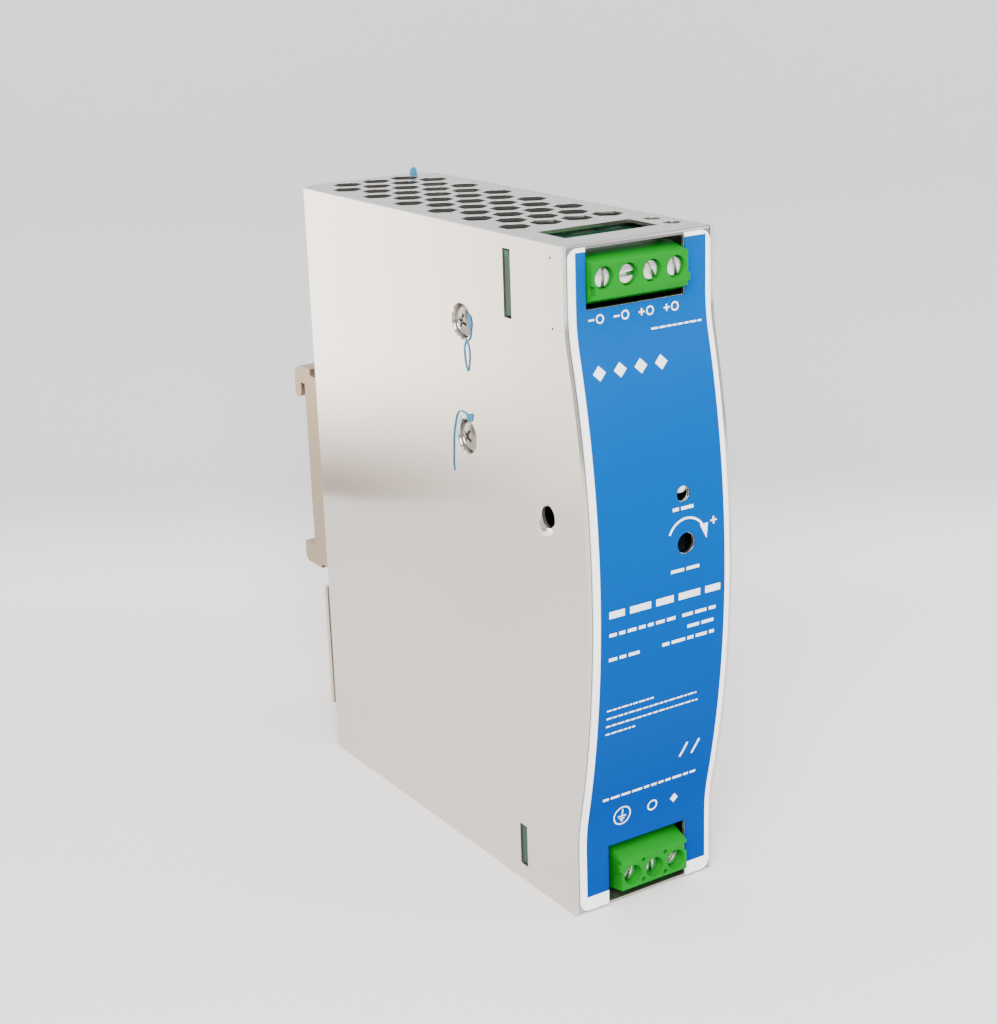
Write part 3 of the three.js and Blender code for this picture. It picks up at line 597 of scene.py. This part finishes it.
def frontPrint():
    bm = bmesh.new()
    for seed, (x0, x1, z, tall) in enumerate(plainLines):
        addWords(bm, x0, x1, z, tall, seed, word=(tall * 1.8, tall * 5.0), gap=tall * 0.9)
    for i in range(4):  # a row of plain lozenges where the maker's word would be
        x = -10.2 + 4.4 * i
        addPlate(bm, [(x - 1.35, 103.2), (x, 101.9), (x + 1.35, 103.2), (x, 104.5)])
    for x in (-9.9, -4.6, 0.7, 6.1):  # a sign and a ring under each output terminal
        addBar(bm, x - 1.3, x - 0.1, 112.2, 0.3)
        addRing(bm, x + 1.1, 112.2, 0.7, 0.28)
    for x in (0.7, 6.1):
        addBar(bm, x - 0.85, x - 0.55, 112.2, 1.2)
    arrow = arcPoints(5.55, 70.9, 4.25, 155, 28, 14)
    addStroke(bm, arrow, 0.4)
    addPlate(bm, [(8.5, 73.3), (10.3, 73.4), (9.9, 70.6)])
    addBar(bm, 10.9, 12.3, 73.6, 0.3)
    addBar(bm, 11.45, 11.75, 73.6, 1.4)
    addRing(bm, -5.8, 18.2, 1.85, 0.26, 28)
    for half, dz in ((0.95, -0.15), (0.6, -0.65), (0.28, -1.1)):
        addBar(bm, -5.8 - half, -5.8 + half, 18.2 + dz, 0.24)
    addBar(bm, -5.92, -5.68, 18.85, 1.4)
    addRing(bm, 1.2, 18.2, 1.0, 0.3)  # plain marks over the two mains terminals
    addPlate(bm, [(5.4, 18.2), (6.3, 17.2), (7.2, 18.2), (6.3, 19.2)])
    for x in (6.2, 9.0):  # two plain slashes where the approval mark would be
        addStroke(bm, [(x, 27.4), (x + 1.5, 30.2)], 0.45)
    return keep(asObject("front_print", bm), "housing", "ink", slot="label_film")


frontFilm()
frontPrint()
print("front film and print made")

# ---- terminal blocks ----

terminals = {
    "pitch": 5.08,
    "depth": 17.3,
    "proud": 1.5,
    "well": 2.0,  # radius of a screw's well
    "output": {"x": -0.9, "z": 119.3, "ways": 4, "up": True, "slots": (0, 88, -30, -15), "head": (0.6, 2.4)},
    "input": {"x": 1.15, "z": 5.5, "ways": 3, "up": False, "slots": (-135, 0, -158), "head": (1.5, 2.6)},
}


def stations(ways):
    return [(i - (ways - 1) / 2) * terminals["pitch"] for i in range(ways)]


def seatBlock(thing, kind):
    # From the block's own place to its notch. The input block is the same block turned upside down.
    spec = terminals[kind]
    if not spec["up"]:
        turn(thing, 180, "Y")
    return shift(thing, spec["x"], -terminals["proud"], spec["z"])


def terminalHousing(kind):
    ways = terminals[kind]["ways"]
    half = ways * terminals["pitch"] / 2
    deep = terminals["depth"]
    section = [(0, -3.5), (4, -5), (deep, -5), (deep, 3.75), (5.2, 3.75), (0, 2.6)]
    housing = prism("housing", "x", section, -half, half)
    nub = prism("nub", "x", [(-0.02, -2.7), (1.1, -2.7), (1.1, -1.3), (-0.02, -1.3)], half - 0.2, half + 0.45)
    carve(housing, nub, operation="UNION")
    tools = [block("notch", (-half - 1, -1, -2.8), (-half + 0.6, 1.2, -1.2))]
    for x in stations(ways):
        tools.append(rod("well", "y", terminals["well"], -1, terminals[kind]["head"][1] + 0.1, 0, x))
        tools.append(rod("neck", "y", 1.6, 2, 4, 0, x, 24))
        tools.append(block("room", (x - 2.1, 2.95, -2.9), (x + 2.1, 14.6, 2.9)))
        tools.append(block("wireWay", (x - 1.6, 10.4, 0), (x + 1.6, 13.4, 5)))
        tools.append(block("contactWay", (x - 1.5, 9.2, -4.5), (x + 1.5, deep + 1, -2)))
    carve(housing, *tools)
    seams = []
    for i in range(1, ways):  # fine moulded lines between the ways, on the top and the slope
        x = i * terminals["pitch"] - half
        seams.append(block("seam", (x - 0.06, 5.4, 3.68), (x + 0.06, deep + 1, 4)))
        if kind == "input":
            seams.append(rod("core", "y", 0.45, -1, 1.5, -2.4, x, 20))
            seams.append(rod("core", "y", 0.45, -1, 1.5, 1.7, x, 20))
    carve(housing, *seams)
    roundEdges(housing, 0.13, 2, 35)
    housing.name = f"{kind}_block"
    return keep(seatBlock(housing, kind), "housing", "green", f"{kind}_terminal_housing", slot="terminal_plastic")


screwShape = {"radius": 1.78, "slotWide": 0.74, "slotDeep": 1.0, "dome": 0.14}


def terminalScrew(kind, number, x, slotAngle):
    (front, back), radius = terminals[kind]["head"], screwShape["radius"]
    profile = [(0, front), (radius * 0.45, front + 0.02), (radius * 0.8, front + screwShape["dome"] * 0.7),
               (radius - 0.12, front + screwShape["dome"]), (radius, front + 0.3), (radius, back), (1.42, back)]
    along = back + 0.2
    while along < 8.4:  # thread ridges
        profile += [(1.42, along), (1.27, along + 0.25)]
        along += 0.5
    profile += [(1.0, 8.85), (0, 8.9)]
    screw = turned("screw", "y", profile, 48)
    slot = block("slot", (-screwShape["slotWide"] / 2, front - 1, -radius - 1),
                 (screwShape["slotWide"] / 2, front + screwShape["slotDeep"], radius + 1))
    carve(screw, turn(slot, slotAngle, "Y"))
    roundEdges(screw, 0.04, 2, 40)
    screw.name = f"{kind}_clamp_screw_{number}"
    shift(screw, x)
    return keep(seatBlock(screw, kind), f"{kind}_screw_{number}", "screw", f"{kind}_screw_{number}",
                slot="plated_screw")


for kind in ("output", "input"):
    terminalHousing(kind)
    for number, x in enumerate(stations(terminals[kind]["ways"]), 1):
        terminalScrew(kind, number, x, terminals[kind]["slots"][number - 1])
print("terminal blocks made")

# ---- screws in the left side ----

sideScrew = {"radius": 2.8, "head": 1.2, "cross": 0.68, "reach": 1.5, "deep": 1.1}


def crossRecess():
    # Tapered cross with a small square middle, pointing into the head along X.
    tools = []
    for angle in (0, 90):
        arm = prism("arm", "z", [(-0.5, -sideScrew["reach"]), (0.15, -sideScrew["reach"]),
                                 (sideScrew["deep"], -0.35), (sideScrew["deep"], 0.35),
                                 (0.15, sideScrew["reach"]), (-0.5, sideScrew["reach"])],
                    -sideScrew["cross"] / 2, sideScrew["cross"] / 2)
        tools.append(turn(arm, angle, "X"))
    tools.append(turned("middle", "x", [(0, -0.5), (0.72, -0.5), (0.62, 0.6), (0, 1.15)], 24))
    return tools


def panScrew(node, turnedBy):
    low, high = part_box(node)
    middle = (low + high) / 2
    head, radius = sideScrew["head"], sideScrew["radius"]
    dome = arcPoints(0, 0, 1, 90, 0, 8)
    profile = [(0, 0.03)] + [(radius * a, head * 0.72 * (1 - b) + 0.03) for a, b in dome[1:]]
    profile += [(radius, head), (1.45, head), (1.45, 5.6), (0, 5.6)]
    screw = turned("pan", "x", profile, 56)
    carve(screw, *[turn(tool, turnedBy, "X") for tool in crossRecess()])
    roundEdges(screw, 0.05, 2, 35)
    screw.name = node.replace("side_screw", "pan_screw")
    shift(screw, low.x / mm, (middle.y - flatY) / mm, middle.z / mm)
    return keep(screw, "housing", "panScrew", node, slot="plated_screw")


panScrew("side_screw_upper", 20)
panScrew("side_screw_lower", 35)
print("side screws made")

# ---- lamp and trimmer ----


def lampLens():
    low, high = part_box("indicator_lamp")
    tip = (low.y - flatY) / mm
    x = low.x / mm + 1.9  # the base ring's radius
    dome = arcPoints(0, 0, 1.45, 90, 0, 8)
    profile = [(0, tip)] + [(a, tip + 1.45 - b) for a, b in dome[1:]]
    profile += [(1.45, tip + 4.2), (1.9, tip + 4.25), (1.9, tip + 5.2), (0, tip + 5.2)]
    bulb = shift(turned("bulb", "y", profile, 40), x, 0, (low.z + high.z) / 2 / mm)
    bulb.name = "lamp_lens"
    return keep(bulb, "housing", "lens", slot="lamp_lens")


def trimmerKnob():
    face = (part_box("trimmer_rotor")[0].y - flatY) / mm
    profile = [(0, face), (1.4, face), (1.62, face + 0.12), (1.7, face + 0.3), (1.7, face + 3), (0, face + 3)]
    knob = turned("knob", "y", profile, 40)
    carve(knob, block("slot", (-2, face - 1, -0.28), (2, face + 0.7, 0.28)),
          block("slot", (-0.28, face - 1, -2), (0.28, face + 0.7, 2)))
    roundEdges(knob, 0.05, 2, 35)
    knob.name = "trimmer_knob"
    return keep(shift(knob, trimmer["x"], 0, trimmer["z"]), "trimmer", "trimmerKnob", "trimmer_rotor",
                slot="trimmer_knob")


trimmerKnob()

# ---- torn bits of protective film ----

scraps = {"thickness": 0.05, "wave": 0.18}


def filmScrap(name, outline, lift, seed, move=None, finish="film"):
    # A small torn sheet on the left side: its outline is (y, z), and lift is how far it stands off.
    dice = random.Random(seed)
    bm = bmesh.new()
    centre = [sum(p[i] for p in outline) / len(outline) for i in (0, 1)]
    rings = []
    for share in (1.0, 0.66, 0.33):
        ring = []
        for y, z in outline:
            jitter = [dice.uniform(-0.06, 0.06) for _ in range(2)]
            off = lift + dice.uniform(0, scraps["wave"]) * (1.2 - share)
            ring.append(bm.verts.new((-halfWidth - off, centre[0] + (y - centre[0]) * share + jitter[0],
                                      centre[1] + (z - centre[1]) * share + jitter[1])))
        rings.append(ring)
    middle = bm.verts.new((-halfWidth - lift - scraps["wave"], *centre))
    count = len(outline)
    for outer, inner in zip(rings, rings[1:]):
        for i in range(count):
            bm.faces.new((outer[i], outer[(i + 1) % count], inner[(i + 1) % count], inner[i]))
    for i in range(count):
        bm.faces.new((rings[-1][i], rings[-1][(i + 1) % count], middle))
    scrap = asObject(name, bm)
    smooth = scrap.modifiers.new("soft", "SUBSURF")
    smooth.levels = smooth.render_levels = 2
    thick = scrap.modifiers.new("thick", "SOLIDIFY")
    thick.thickness = scraps["thickness"]
    thick.offset = 0
    bakeModifiers(scrap)
    if move:
        scrap.data.transform(move)
    return keep(scrap, "housing", finish, angle=60)


def endTree(tree, given, made, last):
    # Copies made real and given their finish.
    plain = wire(tree, tree.nodes.new("GeometryNodeRealizeInstances"), Geometry=last)
    coat = wire(tree, tree.nodes.new("GeometryNodeSetMaterial"), Geometry=plain.outputs["Geometry"],
                Material=given["Material"])
    wire(tree, made, Geometry=coat.outputs["Geometry"])


def makeStrandTree():
    # A round thread along a line of edges, of even or uneven thickness.
    tree, given, made, keys = nodeGroup(
        "GeometryNodeTree", "strandAlongPath",
        [("Geometry", "Geometry", None), ("Thickness", "Float", 0.1), ("Unevenness", "Float", 0.8),
         ("Step", "Float", 0.25), ("Material", "Material", None)],
        [("Geometry", "Geometry")])
    add, given = tree.nodes.new, given.outputs
    line = wire(tree, add("GeometryNodeMeshToCurve"), Mesh=given["Geometry"])
    soft = wire(tree, add("GeometryNodeCurveSplineType"), Curve=line.outputs["Curve"])
    soft.spline_type = "CATMULL_ROM"
    even = add("GeometryNodeResampleCurve")
    even.mode = "LENGTH"
    wire(tree, even, Curve=soft.outputs["Curve"], Length=given["Step"])
    noise = wire(tree, add("ShaderNodeTexNoise"), Scale=0.9, Detail=2.0)
    varied = math2(tree, "MULTIPLY", math2(tree, "SUBTRACT", noise.outputs["Fac"], 0.5), given["Unevenness"])
    radius = wire(tree, add("GeometryNodeSetCurveRadius"), Curve=even.outputs["Curve"],
                  Radius=math2(tree, "ADD", math2(tree, "MULTIPLY", varied, 2.0), 1.0))
    section = wire(tree, add("GeometryNodeCurvePrimitiveCircle"), Resolution=10, Radius=given["Thickness"])
    tube = wire(tree, add("GeometryNodeCurveToMesh"), Curve=radius.outputs["Curve"],
                Profile_Curve=section.outputs["Curve"], Fill_Caps=True)
    endTree(tree, given, made, tube.outputs["Mesh"])
    return tree, keys


strandTree, strandInputs = makeStrandTree()


def strandAlong(name, points, finish, *nodes, thickness, unevenness, step):
    bm = bmesh.new()
    verts = [bm.verts.new(point) for point in points]
    for near, far in zip(verts, verts[1:]):
        bm.edges.new((near, far))
    strand = runTree(asObject(name, bm), strandTree, strandInputs,
                     {"Thickness": thickness, "Unevenness": unevenness, "Step": step,
                      "Material": finishes[finish]})
    return keep(strand, "housing", finish, *nodes, angle=60)


def filmStrand(name, points, lift, thickness=0.13):
    return strandAlong(name, [(-halfWidth - lift, y, z) for y, z in points], "film", thickness=thickness,
                       unevenness=0.9, step=0.2)


def panelPoints(node, offsets):
    # Points on the left side from their distances to a screw's middle, to the rear and upwards.
    low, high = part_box(node)
    y, z = ((low.y + high.y) / 2 - flatY) / mm, (low.z + high.z) / 2 / mm
    return [(y + dy, z + dz) for dy, dz in offsets]


upper, lower = "side_screw_upper", "side_screw_lower"
filmScrap("film_upper_patch", panelPoints(upper, [(-2.9, 2.2), (-2.2, 1.4), (-2.3, 0.2), (-2.7, -1.4), (-3.6, -1.2),
                                                  (-3.9, 0.6)]), 0.1, 3)
filmStrand("film_upper_thread", panelPoints(upper, [(-3.1, 0.8), (-3.3, -1.0), (-2.9, -2.6), (-2.0, -3.4)]), 0.14)
filmStrand("film_upper_loop", panelPoints(upper, [(-1.5, -3.1), (-2.4, -4.6), (-2.5, -6.6), (-1.8, -9.0),
                                                  (-1.0, -7.2), (-0.8, -4.8), (-1.5, -3.3)]), 0.12, 0.11)
filmScrap("film_lower_patch", panelPoints(lower, [(-0.2, 3.3), (-0.3, 4.5), (-1.3, 4.5), (-2.6, 5.1), (-2.5, 3.7),
                                                  (-1.5, 2.9)]), 0.12, 5)
filmScrap("film_lower_veil", panelPoints(lower, [(0.9, 4.2), (2.6, 3.3), (3.9, 0.6), (3.7, -1.6), (2.8, -0.6),
                                                 (2.3, 1.8)]), 0.03, 8, finish="paleFilm")
filmStrand("film_lower_thread", panelPoints(lower, [(-1.0, 4.1), (1.3, 4.6), (2.9, 3.8), (4.1, 1.0), (4.6, -1.4),
                                                    (4.8, -4.0), (5.0, -6.2), (4.8, -7.7)]), 0.13, 0.12)
backEdge = (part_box("top_sheet")[1].y - flatY) / mm - 1.2
filmScrap("film_rear_scrap", [(-1.0, -1.1), (-0.9, 0.6), (-0.2, 1.3), (0.8, 0.9), (1.0, -0.5), (0.3, -1.1)], 0.0, 11,
          move=Matrix.Translation((11.0, backEdge, caseHeight + 0.4)) @ Matrix.Rotation(math.radians(90), 4, "Z")
          @ Matrix.Translation((halfWidth, 0, 0)))
print("film scraps made")

# ---- latch spring ----

latchCoil = {
    "wire": 0.3,  # its radius
    "turns": 7,
    "closed": 1.0,  # turns laid flat at each end
    "stepsEachTurn": 32,
    "travel": 4.5,  # how far the latch comes down on it
}


def springCoil():
    # Closed at both ends.
    low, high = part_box("latch_spring")
    thickness, turns, closed = latchCoil["wire"], latchCoil["turns"], latchCoil["closed"]
    radius = (high.x - low.x) / 2 / mm - thickness
    middle = ((low.y + high.y) / 2 - flatY) / mm
    foot, top = low.z / mm + thickness, high.z / mm - thickness
    flat = closed * thickness * 2.1
    climb = [(0, foot), (closed, foot + flat), (turns - closed, top - flat), (turns, top)]
    points = []
    for (startTurn, startZ), (endTurn, endZ) in zip(climb, climb[1:]):
        steps = round((endTurn - startTurn) * latchCoil["stepsEachTurn"])
        for i in range(steps + (endTurn == turns)):
            angle = (startTurn + (endTurn - startTurn) * i / steps) * 2 * math.pi
            points.append((radius * math.cos(angle), middle + radius * math.sin(angle),
                           startZ + (endZ - startZ) * i / steps))
    coil = strandAlong("latch_coil", points, "spring", "latch_spring", thickness=thickness, unevenness=0.0,
                       step=0.3)
    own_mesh(coil)


springCoil()
print("latch spring made")

# ---- CAD pieces that stay: softened edges and their finishes ----


def makeSmoothTree():
    # Smooth shading broken only at the sharp edges.
    tree, given, made, _ = nodeGroup(
        "GeometryNodeTree", "smoothShading",
        [("Geometry", "Geometry", None), ("Sharp Angle", "Float", math.radians(35))], [("Geometry", "Geometry")])
    faces = wire(tree, tree.nodes.new("GeometryNodeSetShadeSmooth"), Geometry=given.outputs["Geometry"])
    faces.domain = "FACE"
    bend = tree.nodes.new("GeometryNodeInputMeshEdgeAngle").outputs["Unsigned Angle"]
    edges = wire(tree, tree.nodes.new("GeometryNodeSetShadeSmooth"), Geometry=faces.outputs["Geometry"],
                 Selection=math2(tree, "GREATER_THAN", bend, given.outputs["Sharp Angle"]), Shade_Smooth=False)
    edges.domain = "EDGE"
    wire(tree, made, Geometry=edges.outputs["Geometry"])
    return tree


smoothTree = makeSmoothTree()

cadFinish = [  # finish, width of the softened edges, pieces
    ("sheet", 0.07, "case_wrap"), ("clip", 0.25, "rail_bracket"), ("latch", 0.15, "rail_latch"),
    ("screw", 0.08, "bracket_screw_lower", "bracket_screw_upper"),
    ("screw", 0.1, "rear_nut_lower", "rear_nut_upper"),
    ("laminate", 0.05, "output_terminal_board", "input_terminal_board", "main_board"),
    # the insulating sheet takes the near-black painted shade finish
    ("insulation", 0.05, "insulating_sheet"), ("tin", 0.05, "indicator_lamp"),
    ("trimmerCase", 0.1, "trimmer_body"), ("aluminium", 0.15, "heat_spreader"),
    ("package", 0.15, "main_transistor", "output_rectifier"), ("ferrite", 0.3, "transformer_core"),
    ("tape", 0.4, "transformer_winding"), ("tape", 0.5, "interference_capacitor"),
    ("sleeve", 0.3, "bulk_capacitor", "output_capacitor_1", "output_capacitor_2", "output_capacitor_3"),
    ("package", 0.3, "bridge_rectifier"), ("coilWrap", 0.3, "coupling_coil"), ("ceramic", 0.1, "line_fuse"),
]
for kind in ("output", "input"):
    for number in range(1, terminals[kind]["ways"] + 1):
        cadFinish += [("tin", 0.08, f"{kind}_clamp_{number}"), ("tin", 0.05, f"{kind}_contact_{number}")]


def dressNode(name, material, width):
    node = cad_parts[name]
    node.data.materials.clear()
    node.data.materials.append(finishes[material])
    weld = node.modifiers.new("joined corners", "WELD")
    weld.merge_threshold = 0.002 * mm
    flat = node.modifiers.new("flat faces", "DECIMATE")
    flat.decimate_type = "DISSOLVE"
    flat.angle_limit = math.radians(0.6)
    smooth = node.modifiers.new("smooth shading", "NODES")
    smooth.node_group = smoothTree
    addBevel(node, width * mm, 2, 32)
    evenNormals(node)


for material, width, *names in cadFinish:
    for name in names:
        dressNode(name, material, width)
lampLens()


def foldedShell():
    # Front, top and bottom drawn as the one folded sheet that they look like: the joints between them go.
    bm = bmesh.new()
    for name in ("front_sheet", "top_sheet", "bottom_sheet"):
        bm.from_mesh(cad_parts[name].data)
    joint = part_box("top_sheet")[0].y
    bm.normal_update()
    inner = [f for f in bm.faces if abs(f.normal.y) > 0.99 and abs(f.calc_center_median().y - joint) < 1e-6]
    bmesh.ops.delete(bm, geom=inner, context="FACES")
    bmesh.ops.remove_doubles(bm, verts=bm.verts, dist=0.004 * mm)
    bmesh.ops.dissolve_limit(bm, angle_limit=math.radians(0.6), verts=bm.verts, edges=bm.edges)
    shell = asObject("folded_shell", bm)
    roundEdges(shell, 0.05 * mm, 2, 32)
    smoothByAngle(shell)
    evenNormals(shell)
    # its finish is the plated sheet darkened as painted shade
    return keep(shell, "housing", "shadedSheet", "front_sheet", "top_sheet", "bottom_sheet", slot="case_sheet",
                placed=True)


foldedShell()
print("CAD pieces dressed:", sum(len(names) for _, _, *names in cadFinish))

# ---- windings that show through the vents ----


def makeWindingTree():
    # Turns of wire round a ring core, each a rounded loop, set evenly about the Z axis.
    tree, given, made, keys = nodeGroup(
        "GeometryNodeTree", "windingTurns",
        [("Turns", "Int", 18), ("Ring Radius", "Float", 6.5), ("Loop Width", "Float", 4.0),
         ("Loop Height", "Float", 8.0), ("Wire Radius", "Float", 0.4), ("Material", "Material", None)],
        [("Geometry", "Geometry")])
    add, given = tree.nodes.new, given.outputs
    places = wire(tree, add("GeometryNodeMeshCircle"), Vertices=given["Turns"], Radius=given["Ring Radius"])
    loop = wire(tree, add("GeometryNodeCurvePrimitiveQuadrilateral"), Width=given["Loop Width"],
                Height=given["Loop Height"])
    bend = add("GeometryNodeFilletCurve")
    bend.mode = "POLY"
    wire(tree, bend, Curve=loop.outputs["Curve"], Count=3, Radius=0.9)
    section = wire(tree, add("GeometryNodeCurvePrimitiveCircle"), Resolution=8, Radius=given["Wire Radius"])
    tube = wire(tree, add("GeometryNodeCurveToMesh"), Curve=bend.outputs["Curve"],
                Profile_Curve=section.outputs["Curve"])
    stand = wire(tree, add("GeometryNodeTransform"), Geometry=tube.outputs["Mesh"],
                 Rotation=(math.radians(90), 0, 0))
    share = math2(tree, "DIVIDE", add("GeometryNodeInputIndex").outputs["Index"], given["Turns"])
    about = wire(tree, add("ShaderNodeCombineXYZ"), Z=math2(tree, "MULTIPLY", share, 2 * math.pi))
    copies = wire(tree, add("GeometryNodeInstanceOnPoints"), Points=places.outputs["Mesh"],
                  Instance=stand.outputs["Geometry"], Rotation=about.outputs["Vector"])
    endTree(tree, given, made, copies.outputs["Instances"])
    return tree, keys


windingTree, windingInputs = makeWindingTree()
windings = {
    "output_choke": {"turns": 20, "wire": 0.45, "finish": "copper", "slot": "copper_wire"},
    "line_filter_core": {"turns": 16, "wire": 0.32, "finish": "copper", "slot": "ferrite"},
}


def woundRing(node, spec):
    # A ring core and its winding, both inside the box of the node that they stand for.
    low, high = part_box(node)
    outer = (high.z - low.z) / 2 / mm
    thick = (high.x - low.x) / mm
    wire2 = spec["wire"] * 2
    inner = outer * 0.48
    middle, across = (outer + inner) / 2, outer - inner
    place = ((low.x + high.x) / 2 / mm, ((low.y + high.y) / 2 - flatY) / mm, (low.z + high.z) / 2 / mm)
    core = turned("core", "x", [(inner + wire2, -thick / 2 + wire2), (outer - wire2, -thick / 2 + wire2),
                                (outer - wire2, thick / 2 - wire2), (inner + wire2, thick / 2 - wire2),
                                (inner + wire2, -thick / 2 + wire2)], 40)
    roundEdges(core, 0.4, 3, 35)
    core.name = node + "_ring"
    keep(shift(core, *place), "housing", "ferrite", node, slot="ferrite")
    wound = runTree(asObject(node + "_turns", bmesh.new()), windingTree, windingInputs,
                    {"Turns": spec["turns"], "Ring Radius": middle, "Loop Width": across - wire2,
                     "Loop Height": thick - wire2, "Wire Radius": spec["wire"],
                     "Material": finishes[spec["finish"]]})
    turn(wound, 90, "Y")
    return keep(shift(wound, *place), "housing", spec["finish"], slot=spec["slot"])


for node, spec in windings.items():
    woundRing(node, spec)
print("windings made:", len(windings))

# ---- floor, light and camera ----

studio = {
    "floorSize": 3.0,
    "sweepFrom": 0.10,  # where the floor starts to rise behind the object
    "sweepRadius": 0.10,
    "sweepTurn": -32.4,  # degrees about the upright axis
    "floorColor": (0.76, 0.735, 0.72),
    "wallColor": (0.47, 0.475, 0.49),
    "wallFrom": 0.022,  # height where the wall's colour has taken over
    "world": (0.93, 0.95, 1.0),
    "worldStrength": 1.0,
    "cardNear": (-0.190, 0.133),  # ends of a lit card behind and to the left, which the left side mirrors
    "cardFar": (-0.085, 0.217),
    "cardHigh": 0.3,
    "cardRise": 0.05,  # height at which it is fully lit
    "cardEvens": (-0.102, -0.162),  # across these it turns from dark-footed to even
    "cardFoot": (0.11, 0.083, 0.067),
    "cardTop": (1.0, 0.93, 0.85),
    "cardGlow": 6.0,
}


def studioSweep():
    # Floor that turns up into a wall far behind.
    bm = bmesh.new()
    size = studio["floorSize"]
    radius = studio["sweepRadius"]
    line = [(-size, 0.0)] + arcPoints(studio["sweepFrom"], radius, radius, -90, 0, 16)
    line.append((line[-1][0], size))
    base = cadBox[0][2] - 0.00002
    rows = [[bm.verts.new((x, y, base + z)) for x in (-size, size)] for y, z in line]
    for near, far in zip(rows, rows[1:]):
        bm.faces.new((near[0], near[1], far[1], far[0]))
    bm.transform(Matrix.Rotation(math.radians(studio["sweepTurn"]), 4, "Z"))
    sweep = asObject("studio_sweep", bm)
    smoothByAngle(sweep, 40)
    material, tree, shader, place = newMaterial("paper_sweep")
    wire(tree, shader, Roughness=0.85, Specular_IOR_Level=0.1)
    rise = ramp(tree, axesOf(tree, place)["Z"], 0.0, studio["wallFrom"])
    surface = useGroup(tree, grainGroup, Vector=place, Cloud_Scale=6.0, Grain_Scale=900.0, Grain_Share=0.5)
    floorTone = mixColor(tree, surface.outputs["Value"], [c * 0.97 for c in studio["floorColor"]],
                         studio["floorColor"])
    tree.links.new(mixColor(tree, rise, floorTone, studio["wallColor"]),
                   shader.inputs["Base Color"])
    sweep.data.materials.append(material)


def sideCard():
    # Lit card outside the view, darker along its foot and more even towards its near end.
    bm = bmesh.new()
    near, far, high = studio["cardNear"], studio["cardFar"], studio["cardHigh"]
    base = cadBox[0][2]
    bm.faces.new([bm.verts.new((*end, base + z)) for end, z in ((near, 0), (far, 0), (far, high), (near, high))])
    card = asObject("side_card", bm)
    material, tree, shader, place = newMaterial("lit_card")
    axes = axesOf(tree, place)
    lit = ramp(tree, axes["Z"], 0.0, studio["cardRise"])
    along = ramp(tree, axes["X"], *studio["cardEvens"], "LINEAR")
    evener = math2(tree, "SUBTRACT", 0.38, math2(tree, "MULTIPLY", lit, 0.83))
    tone = math2(tree, "ADD", lit, math2(tree, "MULTIPLY", along, evener))
    wire(tree, shader, Emission_Color=mixColor(tree, tone, studio["cardFoot"], studio["cardTop"]),
         Base_Color=(0.01, 0.01, 0.01, 1), Emission_Strength=studio["cardGlow"], Roughness=0.9)
    card.data.materials.append(material)
    card.visible_camera = card.visible_diffuse = False


lights = [  # name, place, where it points, size, watts, colour
    ("key", (-0.55, -0.75, 0.75), (0, 0, 0.06), 0.7, 31.0, (1.0, 0.99, 0.97)),
    ("fill", (0.85, -0.45, 0.6), (0, 0, 0.06), 0.8, 10.0, (0.97, 0.985, 1.0)),
    ("top", (0.0, 0.15, 1.2), (0, 0, 0.05), 1.0, 14.0, (1.0, 1.0, 1.0)),
]


def addLights():
    for name, place, target, size, watts, color in lights:
        data = bpy.data.lights.new(name, "AREA")
        data.shape = "SQUARE"
        data.size = size
        data.energy = watts
        data.color = color
        lightObject = bpy.data.objects.new(name, data)
        lightObject.location = place
        lightObject.rotation_euler = (Vector(target) - Vector(place)).to_track_quat("-Z", "Y").to_euler()
        lightObject.visible_camera = False
        bpy.context.scene.collection.objects.link(lightObject)
    world = bpy.data.worlds.new("studio")
    world.use_nodes = True
    background = world.node_tree.nodes["Background"]
    background.inputs["Color"].default_value = (*studio["world"], 1)
    background.inputs["Strength"].default_value = studio["worldStrength"]
    bpy.context.scene.world = world


view = {
    "place": (-191.0, -253.8, 180.1),  # millimetres, as the shapes
    "azimuth": 32.36,
    "elevation": 18.06,
    "roll": -1.93,
    "lens": 67.75,
}


def addCamera():
    data = bpy.data.cameras.new("camera")
    data.lens = view["lens"]
    data.sensor_width = 36
    data.sensor_fit = "HORIZONTAL"
    data.clip_start = 0.01
    camera = bpy.data.objects.new("camera", data)
    azimuth, elevation, roll = (math.radians(view[k]) for k in ("azimuth", "elevation", "roll"))
    forward = Vector((math.sin(azimuth) * math.cos(elevation), math.cos(azimuth) * math.cos(elevation),
                      -math.sin(elevation)))
    level = Vector((math.cos(azimuth), -math.sin(azimuth), 0))
    rise = level.cross(forward)
    right = math.cos(roll) * level + math.sin(roll) * rise
    up = -math.sin(roll) * level + math.cos(roll) * rise
    turnTo = Matrix((right, up, -forward)).transposed().to_4x4()
    camera.matrix_world = Matrix.Translation(toFrame @ Vector(view["place"])) @ turnTo
    bpy.context.scene.collection.objects.link(camera)
    bpy.context.scene.camera = camera


studioSweep()
sideCard()
addLights()
addCamera()
print("studio ready")
